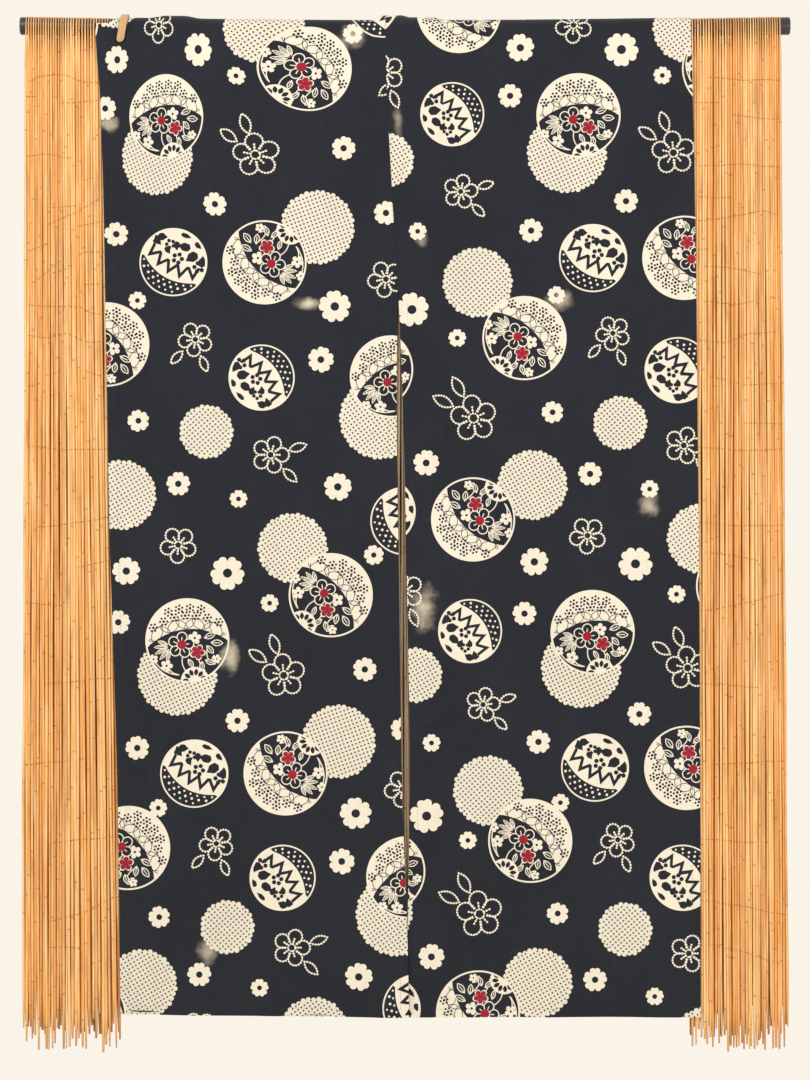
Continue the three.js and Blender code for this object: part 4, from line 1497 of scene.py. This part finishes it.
@dataclass(frozen=True)
class RodFinish:
    """Satin black enamel on a tube, with fine dust, and more of a dark brown towards its rims."""

    name: str = "black_enamel"
    black: Colour = (0.012, 0.011, 0.011)
    rim_brown: Colour = (0.045, 0.038, 0.03)

    def build(self) -> bpy.types.Material:
        """Makes the material."""
        made, bench, shader = new_material(self.name)
        position = bench.add("TexCoord").outputs["Object"]
        dust = bench.ramp(bench.noise(position, (60.0, 260.0, 260.0), 4.0), 0.35, 0.75)
        parts = bench.add("SeparateXYZ", i0=position)
        half = ROD.length / 2
        end = bench.ramp(bench.math("ABSOLUTE", parts.outputs[0]), half - 4 * MM, half - 1 * MM)
        end_share = bench.math("MULTIPLY", end, dust)
        share = bench.math("MULTIPLY_ADD", dust, 0.3, bench.math("MULTIPLY", end_share, 0.6))
        bench.give(shader.inputs["Base Color"], bench.mix(share, self.black, self.rim_brown))
        bench.give(shader.inputs["Roughness"], bench.ramp(dust, 0.0, 1.0, 0.3, 0.5))
        fine = bench.noise(position, (900.0, 900.0, 900.0), 2.0)
        bench.give(shader.inputs["Normal"], bump(bench, fine, 0.15, 0.05 * MM))
        shader.inputs["Coat Weight"].default_value = 0.25
        shader.inputs["Coat Roughness"].default_value = 0.3
        return made


@dataclass(frozen=True)
class ThreadFinish:
    """Twisted thread."""

    name: str
    dark: Colour
    light: Colour
    twist: float = 1400.0

    def build(self) -> bpy.types.Material:
        """Makes the material."""
        made, bench, shader = new_material(self.name)
        position = bench.add("TexCoord").outputs["Object"]
        parts = bench.add("SeparateXYZ", i0=position)
        slant = bench.math("ADD", parts.outputs[0], parts.outputs[2])
        ply = bench.math("SINE", bench.math("MULTIPLY", slant, self.twist * 2 * math.pi))
        fuzz = bench.noise(position, (500.0, 500.0, 500.0), 2.0)
        bench.give(shader.inputs["Base Color"], bench.mix(bench.ramp(fuzz, 0.3, 0.7), self.dark, self.light))
        bench.give(shader.inputs["Normal"], bump(bench, ply, 0.5, 0.1 * MM))
        shader.inputs["Roughness"].default_value = 0.9
        return made


@dataclass(frozen=True)
class FloorFinish:
    """A plain pale floor."""

    name: str = "pale_floor"
    dark: Colour = (0.8, 0.77, 0.71)
    light: Colour = (0.84, 0.81, 0.76)

    def build(self) -> bpy.types.Material:
        """Makes the material."""
        made, bench, shader = new_material(self.name)
        position = bench.add("TexCoord").outputs["Object"]
        cloudy = bench.ramp(bench.noise(position, (3.0, 3.0, 3.0), 4.0), 0.3, 0.7)
        bench.give(shader.inputs["Base Color"], bench.mix(cloudy, self.dark, self.light))
        shader.inputs["Roughness"].default_value = 0.9
        return made


def cloth_finishes(effects: SharedEffects) -> tuple[list, list]:
    """The cloth's materials in front and behind, each list in the order of Ink."""
    pale = (0.52, 0.47, 0.36)
    front = [
        ClothFinish("cloth_navy", (0.0085, 0.0105, 0.0165), (0.0165, 0.0195, 0.0285), (0.78, 0.68, 0.52)),
        ClothFinish("cloth_cream", (0.72, 0.665, 0.55), (0.82, 0.765, 0.64), pale, stains=()),
        ClothFinish("cloth_crimson", (0.24, 0.006, 0.018), (0.36, 0.016, 0.035), pale, stains=()),
        ClothFinish("cloth_ecru", (0.66, 0.61, 0.5), (0.78, 0.725, 0.61), pale, stains=()),
    ]
    back = [
        ClothFinish("cloth_back_navy", (0.022, 0.023, 0.03), (0.036, 0.036, 0.044), (0.12, 0.11, 0.09)),
        ClothFinish("cloth_back_cream", (0.3, 0.275, 0.21), (0.42, 0.385, 0.3), pale, stains=()),
        ClothFinish("cloth_back_crimson", (0.12, 0.014, 0.02), (0.19, 0.026, 0.034), pale, stains=()),
        ClothFinish("cloth_back_ecru", (0.28, 0.25, 0.185), (0.4, 0.36, 0.27), pale, stains=()),
    ]
    return [f.build(effects) for f in front], [f.build(effects) for f in back]


def hashed(seed: float) -> float:
    """A steady number from 0 to 1 for a seed, alike in each run."""
    value = math.sin(seed * 12.9898 + 4.137) * 43758.5453
    return value - math.floor(value)


@dataclass(frozen=True)
class ReedRow:
    """Reeds side by side: where they cross the rod, in millimetres, and how far apart."""

    start: float
    end: float
    pitch: float
    width: float
    slimmest: float = 0.6


@dataclass
class ReedScreen:
    """Split reeds bent over the rod, front and back legs, with their woven threads."""

    name: str
    node: str
    front: tuple[ReedRow, ...]
    back: tuple[ReedRow, ...]
    tip_from: float
    tip_to: float
    tip_z: float
    uneven: float
    threads: tuple[tuple[float, float, float, float], ...]
    gap: float = 0.4 * MM
    thickness: float = 1.3 * MM
    root_turn: float = math.radians(-66)
    layer: float = 0.8 * MM
    turn_steps: int = 8
    leg_steps: int = 30

    @property
    def seat(self) -> float:
        """Distance of a reed's inner face from the rod's axis."""
        return ROD.radius + self.gap

    def reed_line(self, x: float, forward: bool, seed: float, low: float,
                  high: float) -> tuple[Points, Points]:
        """The inner-face line of one reed.

        Args:
            x: Where it crosses the rod.
            forward: True for a leg down the front.
            seed: Its own number.
            low: The row's lowest x.
            high: The row's highest x.

        Returns:
            Its points and its outward directions.
        """
        facing = 1.0 if forward else -1.0
        across = (x - low) / (high - low)
        tip_x = (self.tip_from + (self.tip_to - self.tip_from) * across) * MM
        short = hashed(seed + 31) ** 3 * self.uneven + (0 if forward else 16)
        tip_z = (self.tip_z + (hashed(seed) - 0.5) * 10 + short) * MM
        turns = np.linspace(self.root_turn, facing * math.pi / 2, self.turn_steps if forward else 3)[:-1]
        fraction = np.linspace(0, 1, self.leg_steps + 1)
        z = ROD.drop(x) + (tip_z - ROD.drop(x)) * fraction
        free = smooth(fraction, 0, 0.3)
        drift = (0.9 * np.sin(x / (23 * MM) + z / 0.33) + 0.3 * np.sin(x / (9.5 * MM) - z / 0.19)) * MM * free
        drift = drift + 0.6 * MM * np.sin(z / 0.17 + seed * 2.3) * free
        drift = drift + 0.35 * MM * np.sin(z / 0.071 + seed * 4.1) * free
        belly = 0.4 * MM * np.sin(fraction * 5 + seed) * fraction
        belly = belly + self.layer * (seed % 2) * smooth(fraction, 0.01, 0.05)
        hang_x = x + (tip_x - x) * fraction + drift
        hang = np.stack([hang_x, -facing * (self.seat + belly), z], axis=1)
        bend = np.stack([np.full(len(turns), x), -self.seat * np.sin(turns),
                         self.seat * np.cos(turns) + ROD.drop(x)], axis=1)
        out_bend = np.stack([0 * turns, -np.sin(turns), np.cos(turns)], axis=1)
        out_hang = np.tile([0.0, -facing, 0.0], (len(hang), 1))
        return np.concatenate([bend, hang]), np.concatenate([out_bend, out_hang])

    def add_reed(self, store: dict, line: Points, out: Points, width: float, seed: float) -> None:
        """Adds one reed: a band with a flat inner face and a rounded outer one, narrowed towards its tip."""
        count = len(line)
        along = np.gradient(line, axis=0)
        along /= np.linalg.norm(along, axis=1, keepdims=True)
        side = np.cross(out, along)
        side /= np.linalg.norm(side, axis=1, keepdims=True)
        from_tip = np.cumsum(np.linalg.norm(np.diff(line[::-1], axis=0), axis=1))
        from_tip = np.concatenate([[0], from_tip])[::-1]
        taper = 0.58 + 0.42 * smooth(from_tip, -4 * MM, 50 * MM)
        taper = taper * (0.42 + 0.58 * smooth(np.linalg.norm(line - line[0], axis=1), 26 * MM, 44 * MM))
        wave = 1 + 0.09 * np.sin(np.arange(count) * 0.9 + seed * 7)
        half = width / 2 * taper * wave
        high = self.thickness * (0.75 + 0.25 * hashed(seed + 3)) * (0.55 + 0.45 * taper)
        section = ((-1.0, 0.0), (-0.88, 0.5), (-0.5, 0.87), (0.0, 1.0), (0.5, 0.87), (0.88, 0.5), (1.0, 0.0))
        base = store["count"]
        sides = len(section)
        for across, up in section:
            store["points"].append(line + side * (half * across)[:, None] + out * (high * up)[:, None])
        grid = base + np.arange(sides)[:, None] * count + np.arange(count)
        store["faces"].append(skin(grid))
        store["caps"].append(grid[::-1, 0].tolist())
        store["caps"].append(grid[:, -1].tolist())
        length = np.concatenate([[0], np.cumsum(np.linalg.norm(np.diff(line, axis=0), axis=1))])
        # Each point keeps its share of the half width as its rim number, from which the finish paints a
        # highlight down the reed's middle and shade at its sides.
        for across, _ in section:
            store["spots"].append(np.stack([across * half, length, np.full(count, hashed(seed * 1.7))], 1))
            store["rims"].append(np.full(count, abs(across)))
        store["count"] += sides * count

    def build(self, finish: bpy.types.Material) -> bpy.types.Object:
        """Builds every reed of the screen as one mesh."""
        store = {"points": [], "faces": [], "caps": [], "spots": [], "rims": [], "count": 0}
        seed = abs(self.tip_from) % 97
        for forward, rows in ((True, self.front), (False, self.back)):
            low, high = rows[0].start * MM, rows[-1].end * MM
            for row in rows:
                count = round((row.end - row.start) / row.pitch)
                for k in range(count + 1):
                    seed += 1
                    x = (row.start + (row.end - row.start) * k / count + 0.7 * (hashed(seed + 5) - 0.5)) * MM
                    line, out = self.reed_line(x, forward, seed, low, high)
                    width = row.width * MM * (row.slimmest + (1.1 - row.slimmest) * hashed(seed + 11))
                    self.add_reed(store, line, out, width, seed)
        faces = [f for block in store["faces"] for f in block.tolist()] + store["caps"]
        made = new_mesh(self.name, np.concatenate(store["points"]), faces, [finish])
        keep_on_points(made, "reed", np.concatenate(store["spots"]))
        keep_on_points(made, "rim", np.concatenate(store["rims"]))
        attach(made, "root")
        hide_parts(self.node)
        log.info("%s: %d faces", self.name, len(faces))
        return made


@dataclass
class Rod:
    """The rod: a turned bar with rounded rims, bowed by its load."""

    shape: RodShape = ROD
    sides: int = 64
    bays: int = 90
    rim_steps: int = 8

    def build(self, finish: bpy.types.Material) -> bpy.types.Object:
        """Builds the rod."""
        half = self.shape.length / 2
        turn = np.linspace(0, math.pi / 2, self.rim_steps)
        radius = self.shape.radius - self.shape.rim * (1 - np.sin(turn))
        inset = self.shape.rim * (1 - np.cos(turn))
        middle = np.linspace(-half, half, self.bays + 1)[1:-1]
        places = np.concatenate([inset - half, middle, (half - inset)[::-1]])
        radii = np.concatenate([radius, np.full(len(middle), self.shape.radius), radius[::-1]])
        angle = np.arange(self.sides) * 2 * math.pi / self.sides
        x = np.repeat(places, self.sides)
        y = (radii[:, None] * np.cos(angle)).ravel()
        z = (radii[:, None] * np.sin(angle)).ravel() + self.shape.drop(x)
        ring = np.arange(self.sides)
        after = np.roll(ring, -1)
        faces = []
        for k in range(len(places) - 1):
            a, b = k * self.sides, (k + 1) * self.sides
            faces += np.stack([a + ring, b + ring, b + after, a + after], axis=1)[:, ::-1].tolist()
        last = (len(places) - 1) * self.sides
        faces += [ring.tolist(), (last + ring)[::-1].tolist()]
        made = new_mesh("rod_bar", np.stack([x, y, z], axis=1), faces, [finish])
        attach(made, "root")
        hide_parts("rod")
        return made


@dataclass
class Clip:
    """The bent wooden clip that grips the cloth's left corner on the rod."""

    width: float = 11 * MM
    thickness: float = 2.4 * MM
    x: float = -411.4 * MM
    tilt: float = math.radians(9.5)
    front_drop: float = 23 * MM
    back_drop: float = 16 * MM
    gap: float = 0.5 * MM
    cloth_thickness: float = 1.2 * MM

    def build(self, panel: ClothPanel, finish: bpy.types.Material) -> bpy.types.Object:
        """Builds the clip over the cloth.

        Args:
            panel: The cloth panel that it grips.
            finish: Its material.

        Returns:
            The clip.
        """
        seat = np.array([self.x - 0.75 * self.width])
        radius = float(panel.radius(seat, np.zeros(1))[0]) + self.cloth_thickness / 2 + self.gap
        turn_radius = radius / math.cos(math.pi / 20) + self.thickness / 2
        quarter = turn_radius * math.pi / 2
        start, end = -quarter - self.back_drop, quarter + self.front_drop
        round_end = self.width / 2 * (1 - np.cos(np.linspace(0, math.pi / 2, 9)))
        straight = np.linspace(start + self.width / 2, end - self.width / 2, 40)[1:-1]
        s = np.concatenate([start + round_end, straight, (end - round_end)[::-1]])
        inside = np.maximum(0, self.width / 2 - np.minimum(s - start, end - s))
        half = np.maximum(0.12 * self.width / 2, np.sqrt(np.maximum((self.width / 2) ** 2 - inside ** 2, 0)))
        y, z = drape_over(s, np.full(len(s), turn_radius))
        turn = np.clip(s / turn_radius, -math.pi / 2, math.pi / 2)
        section = ((-0.86, -1.0), (-1.0, -0.6), (-1.0, 0.6), (-0.86, 1.0), (0.86, 1.0),
                   (1.0, 0.6), (1.0, -0.6), (0.86, -1.0))
        points = []
        for across, out in section:
            push = out * self.thickness / 2
            lift = z + push * np.cos(turn)
            points.append(np.stack([self.x + across * half + math.tan(self.tilt) * lift,
                                    y - push * np.sin(turn), lift + ROD.drop(self.x)], axis=1))
        count, sides = len(s), len(section)
        grid = np.arange(sides)[:, None] * count + np.arange(count)
        faces = skin(grid).tolist() + [grid[::-1, 0].tolist(), grid[:, -1].tolist()]
        made = new_mesh("wooden_clip", np.concatenate(points), faces, [finish])
        flat = np.concatenate([np.stack([a * half, s, 0 * s + 0.4], axis=1) for a, _ in section])
        keep_on_points(made, "reed", flat)
        # The rim number is low on the middle of the outer face, where the finish paints a highlight, and high
        # on the sides and the inner face, where it paints shade.
        keep_on_points(made, "rim", np.repeat([abs(a) * (1 - 0.4 * (o > 0)) for a, o in section], count))
        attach(made, "root")
        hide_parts("corner_clip")
        return made


def add_tube(store: dict, line: Points, radius: float, sides: int) -> None:
    """Adds a thin closed tube.

    Args:
        store: Where its points and faces go.
        line: The points that it follows.
        radius: Its radius.
        sides: Its number of sides.
    """
    along = np.gradient(line, axis=0)
    along /= np.maximum(np.linalg.norm(along, axis=1, keepdims=True), 1e-12)
    aside = np.cross(along, np.array([0.11, 0.93, 0.35]))
    aside /= np.linalg.norm(aside, axis=1, keepdims=True)
    up = np.cross(along, aside)
    count = len(line)
    base = store["count"]
    for k in range(sides):
        turn = 2 * math.pi * k / sides
        store["points"].append(line + radius * (aside * math.cos(turn) + up * math.sin(turn)))
    grid = base + np.arange(sides)[:, None] * count + np.arange(count)
    store["faces"] += skin(grid)[:, [0, 3, 2, 1]].tolist()
    store["faces"] += [grid[:, 0].tolist(), grid[::-1, -1].tolist()]
    store["count"] += sides * count


@dataclass
class ReedThreads:
    """The thin threads that weave a screen's reeds together, each of two strands twined about the reeds."""

    screen: ReedScreen
    name: str
    radius: float = 0.34 * MM
    wave: float = 6.4 * MM
    step: float = 0.8 * MM

    def build(self, finish: bpy.types.Material) -> bpy.types.Object:
        """Builds every thread of the screen as one mesh."""
        store = {"points": [], "faces": [], "count": 0}
        for number, run in enumerate(self.screen.threads):
            path = np.array(run, float)
            x = (path[:, 0] - CHART_MIDDLE) * CHART_STEP
            z = (CHART_ROD - path[:, 1]) * CHART_STEP
            places = np.arange(x[0], x[-1], self.step)
            height = np.interp(places, x, z)
            near = np.hanning(17) / np.hanning(17).sum()
            height = np.convolve(np.pad(height, 8, mode="edge"), near, mode="valid")
            height = height + 0.5 * MM * np.sin(places / (9 * MM) + number)
            for strand in (0.0, math.pi):
                phase = places / self.wave * 2 * math.pi + strand + number
                depth = self.screen.seat + self.screen.thickness * (0.5 + 1.05 * np.cos(phase))
                line = np.stack([places, -depth, height + 0.42 * MM * np.sin(phase)], axis=1)
                add_tube(store, line, self.radius, 5)
        made = new_mesh(self.name, np.concatenate(store["points"]), store["faces"], [finish])
        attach(made, "root")
        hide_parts(self.screen.node)
        log.info("%s: %d threads", self.name, len(self.screen.threads))
        return made


@dataclass
class Stitching:
    """The sewing thread that shows on one panel: short stitches along its hems, and across the seam."""

    panel: ClothPanel
    name: str
    thickness: float
    seam_side: float
    sews_seam: bool
    stitch: float = 2.4 * MM
    pitch: float = 4.6 * MM
    inset: float = 12 * MM
    radius: float = 0.2 * MM
    seam_pitch: float = 8 * MM
    seam_reach: float = 1.6 * MM

    def rows(self) -> list[tuple[Points, Points]]:
        """The flat middle places and directions of the hem stitches, as place across and length."""
        panel = self.panel
        rows = []
        for u in (self.inset, panel.width - self.inset):
            seam = (u > panel.width / 2) == (self.seam_side > 0.5)
            hem = float(panel.hem_length(np.array([u / panel.width]))[0]) - self.inset
            start = 0.43 if seam else 0.05
            s = np.arange(start, hem, self.pitch)
            rows.append((np.stack([np.full(len(s), u), s], 1), np.tile([0.0, 1.0], (len(s), 1))))
        u = np.arange(self.inset, panel.width - self.inset, self.pitch)
        s = panel.hem_length(u / panel.width) - self.inset
        rows.append((np.stack([u, s], 1), np.tile([1.0, 0.0], (len(u), 1))))
        return rows

    def add_stitch(self, store: dict, start: Points, end: Points) -> None:
        """Adds one stitch, whose ends dive into the cloth."""
        t = np.array([0.0, 0.16, 0.5, 0.84, 1.0])
        rise = np.array([-0.6, 0.7, 1.0, 0.7, -0.6]) * self.radius
        flat = start + (end - start) * t[:, None]
        across, s = np.clip(flat[:, 0] / self.panel.width, 0, 1), flat[:, 1]
        out = self.panel.facing(across, s)
        spots = self.panel.point(across, s) + out * (self.thickness + rise)[:, None]
        beyond = flat[:, 0] - across * self.panel.width
        spots[:, 0] += beyond
        add_tube(store, spots, self.radius, 4)

    def build(self, finish: bpy.types.Material) -> bpy.types.Object:
        """Builds all the stitches as one mesh."""
        store = {"points": [], "faces": [], "count": 0}
        for places, ways in self.rows():
            for k, (place, way) in enumerate(zip(places, ways)):
                half = way * self.stitch / 2 * (0.85 + 0.3 * hashed(k))
                self.add_stitch(store, place - half, place + half)
        if self.sews_seam:
            edge = self.panel.width * self.seam_side
            for k, s in enumerate(np.arange(0.03, 0.405, self.seam_pitch)):
                reach = np.array([self.seam_reach, 0.5 * MM * (hashed(k) - 0.5)])
                self.add_stitch(store, np.array([edge, s]) - reach, np.array([edge, s]) + reach)
        made = new_mesh(self.name, np.concatenate(store["points"]), store["faces"], [finish])
        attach(made, "root")
        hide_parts(self.panel.node)
        log.info("%s: %d points", self.name, store["count"])
        return made


LEFT_PANEL = ClothPanel(
    name="noren_cloth_left",
    node="noren_panel_left",
    left_edge=Edge.LEFT,
    right_edge=Edge.SEAM_LEFT,
    seam_edge=Edge.SEAM_LEFT,
    lap=1.0,
    width=0.4225,
    folds=(
        Fold(0.13, 0.05, -4.5, -1, 0), Fold(0.28, 0.12, 2.5, 3, 6), Fold(0.52, 0.035, 1.6, 2.2, 2.6),
        Fold(0.68, 0.11, -0.5, -1.5, -3.5), Fold(0.9, 0.08, 1.5, 2.5, 4.5),
    ),
    upright_crease=0.53,
    creases=(
        Crease(-731, 0.02, 0.4, 0.8), Crease(-733, 0.4, 0.9, 0.4),
        Crease(-1110, 0.02, 0.2, 0.6), Crease(-1110, 0.7, 0.95, 0.35),
    ),
    puckers=(
        Pucker(0.09, -150, 16, 110, -2.0), Pucker(0.03, -232, 30, 14, 1.8, 2.2),
    ),
    slips=True,
)
RIGHT_PANEL = ClothPanel(
    name="noren_cloth_right",
    node="noren_panel_right",
    left_edge=Edge.SEAM_RIGHT,
    right_edge=Edge.RIGHT,
    seam_edge=Edge.SEAM_RIGHT,
    lap=-0.5,
    width=0.4325,
    folds=(
        Fold(0.2, 0.08, -1, 1.5, 3), Fold(0.34, 0.09, 1, -1, -3), Fold(0.495, 0.035, 1.6, 2.2, 2.6),
        Fold(0.68, 0.12, -1.5, -2, -4.5), Fold(0.88, 0.07, 1.5, 2, 4),
    ),
    upright_crease=0.495,
    creases=(
        Crease(-731, 0.42, 0.95, 0.35), Crease(-1110, 0.42, 0.6, 0.5),
    ),
    puckers=(),
    slips=False,
)

# Chart places of the weaving threads, left to right.
LEFT_THREADS = (
    ((30, 84), (38, 78), (50, 76), (65, 76), (75, 80), (85, 83), (101, 84)),
    ((27, 98), (38, 97)), ((61, 104), (99, 102)),
    ((28, 157), (46, 155), (74, 159)), ((48, 226), (62, 219), (78, 213), (104, 197)),
    ((51, 208), (77, 207)), ((77, 227), (104, 222)), ((29, 252), (48, 244)),
    ((32, 284), (45, 275), (62, 261)), ((54, 274), (70, 268)), ((79, 256), (86, 253), (105, 252)),
    ((83, 285), (102, 284)), ((29, 306), (83, 308), (90, 313), (105, 315)),
    ((29, 336), (48, 338), (68, 334), (90, 343), (105, 342)), ((29, 387), (42, 383)),
    ((50, 375), (62, 371)), ((83, 371), (105, 377)), ((29, 446), (66, 450), (109, 449)),
    ((39, 527), (70, 524), (112, 517)),
    ((78, 567), (113, 560)), ((27, 602), (64, 606)), ((45, 684), (113, 677)),
    ((27, 764), (70, 760)), ((50, 842), (115, 836)), ((52, 920), (84, 912), (115, 896)),
    ((50, 946), (84, 947)),
)
MIDDLE_THREADS = (
    ((388, 330), (408, 333), (430, 331)), ((388, 452), (430, 448)), ((388, 610), (431, 613)),
    ((388, 770), (431, 766)), ((388, 905), (430, 908)),
)
RIGHT_THREADS = (
    ((707, 78), (740, 81), (779, 81)), ((692, 103), (719, 104)), ((730, 115), (755, 119), (779, 120)),
    ((697, 167), (738, 165), (779, 168)), ((698, 198), (731, 198)),
    ((697, 222), (735, 217), (760, 211), (778, 216)), ((697, 250), (709, 249)),
    ((704, 267), (735, 269), (760, 275)), ((769, 299), (778, 297)), ((704, 302), (738, 305), (753, 302)),
    ((696, 341), (726, 343), (748, 334), (778, 332)), ((709, 376), (728, 381)), ((741, 385), (778, 384)),
    ((743, 423), (780, 424)),
    ((694, 447), (748, 451), (782, 449)), ((698, 522), (740, 526), (783, 525)),
    ((705, 552), (730, 555), (760, 561)), ((700, 611), (740, 604), (783, 593)),
    ((697, 683), (760, 687)), ((712, 764), (784, 760)), ((699, 838), (756, 842)),
    ((700, 899), (740, 905), (785, 914)), ((708, 943), (740, 950), (779, 963)),
)

SCREENS = (
    ReedScreen(
        name="reeds_left", node="reed_screen_left",
        front=(ReedRow(-552, -487, 3.6, 4.5, 0.7), ReedRow(-483, -433, 4.1, 4.8, 0.7)),
        back=(ReedRow(-551, -432, 3.05, 5.2, 0.85),),
        tip_from=-555, tip_to=-416, tip_z=-1492, uneven=50, threads=LEFT_THREADS,
    ),
    ReedScreen(
        name="reeds_middle", node="reed_strip_middle",
        front=(ReedRow(-24, 36, 4.4, 4.6, 0.7),),
        back=(ReedRow(-24, 36, 3.05, 5.2, 0.85),),
        tip_from=-26, tip_to=34, tip_z=-1410, uneven=26, threads=MIDDLE_THREADS,
    ),
    ReedScreen(
        name="reeds_right", node="reed_screen_right",
        front=(ReedRow(418.5, 479, 4.1, 4.8, 0.7), ReedRow(482.5, 546, 3.6, 4.5, 0.7)),
        back=(ReedRow(418.5, 546, 3.05, 5.2, 0.85),),
        tip_from=418, tip_to=556, tip_z=-1492, uneven=50, threads=RIGHT_THREADS,
    ),
)


@dataclass
class Studio:
    """The floor, the light and the camera at the photograph's angle."""

    frame_px: tuple[int, int] = (810, 1080)
    distance: float = 6.0
    level: float = -0.7504
    floor_z: float = -1.85

    def build(self) -> None:
        """Sets the stage, the lights and the camera."""
        scene = bpy.context.scene
        scene.view_settings.view_transform = "Standard"
        world = scene.world or bpy.data.worlds.new("world")
        scene.world = world
        world.use_nodes = True
        sky = world.node_tree.nodes["Background"]
        sky.inputs["Color"].default_value = (0.96, 0.9, 0.81, 1)
        sky.inputs["Strength"].default_value = 1.0
        finish = FloorFinish().build()
        size = 1.1
        corners = np.array([(-size, -size, 0), (size, -size, 0), (size, size, 0), (-size, size, 0)])
        floor = new_mesh("floor", corners + (0, 0, self.floor_z), [[0, 1, 2, 3]], [finish])
        self.lamp("key", (-1.6, -2.6, 1.2), 1.6, 42)
        self.lamp("fill", (1.8, -2.4, -0.4), 1.8, 18)
        camera = bpy.data.cameras.new("camera")
        camera.sensor_fit = "AUTO"
        camera.sensor_width = 36
        tall = self.frame_px[1] * CHART_STEP
        camera.lens = 36 * self.distance / tall
        made = bpy.data.objects.new("camera", camera)
        made.location = (0, -self.distance, self.level)
        made.rotation_euler = (math.pi / 2, 0, 0)
        scene.collection.objects.link(made)
        scene.camera = made

    def lamp(self, name: str, place: tuple[float, float, float], size: float, power: float) -> None:
        """One soft square lamp, aimed at the curtain's middle."""
        light = bpy.data.lights.new(name, "AREA")
        light.size = size
        light.energy = power
        made = bpy.data.objects.new(name, light)
        made.location = place
        aim = Vector((0, 0, self.level)) - Vector(place)
        made.rotation_euler = aim.to_track_quat("-Z", "Y").to_euler()
        bpy.context.scene.collection.objects.link(made)


def main() -> None:
    """Builds the curtain piece by piece."""
    logging.basicConfig(level=logging.INFO, format="%(message)s")
    effects = SharedEffects()
    front, back = cloth_finishes(effects)
    sewing = ThreadFinish("sewing_thread", (0.03, 0.03, 0.036), (0.06, 0.06, 0.066)).build()
    chart = PrintChart()
    for panel, seam_side in ((LEFT_PANEL, 1.0), (RIGHT_PANEL, 0.0)):
        builder = ClothBuilder(panel)
        cloth = builder.build(panel.name, chart, front, back)
        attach(cloth, "root")
        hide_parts(panel.node)
        stitches = Stitching(panel, panel.name.replace("cloth", "stitches"), builder.thickness / 2,
                             seam_side, seam_side > 0.5).build(sewing)
    reed = ReedFinish("split_reed", (1.0, 0.76, 0.38), (1.0, 0.54, 0.17), (0.88, 0.36, 0.07),
                      (0.3, 0.09, 0.012)).build(effects)
    # Painted shade: a darker copy of the reed colours for the middle strip, which hangs in the cloth's
    # shadow; it is as dark on its back face.
    shaded = ReedFinish("shaded_reed", (0.5, 0.39, 0.25), (0.36, 0.24, 0.13), (0.24, 0.145, 0.07),
                        (0.05, 0.03, 0.012)).build(effects)
    thread = ThreadFinish("weaving_thread", (0.36, 0.1, 0.035), (0.56, 0.2, 0.08)).build()
    for screen in SCREENS:
        screen.build(shaded if screen is SCREENS[1] else reed)
        ReedThreads(screen, screen.name.replace("reeds", "threads")).build(thread)
    Rod().build(RodFinish().build())
    wood = ReedFinish("bent_wood", (1.0, 0.8, 0.55), (0.85, 0.58, 0.3), (0.7, 0.42, 0.18),
                      (0.34, 0.16, 0.06), fineness=900.0, knots=0.0, roughness=0.42).build(effects)
    Clip().build(LEFT_PANEL, wood)
    Studio().build()


if __name__ == "__main__":
    main()
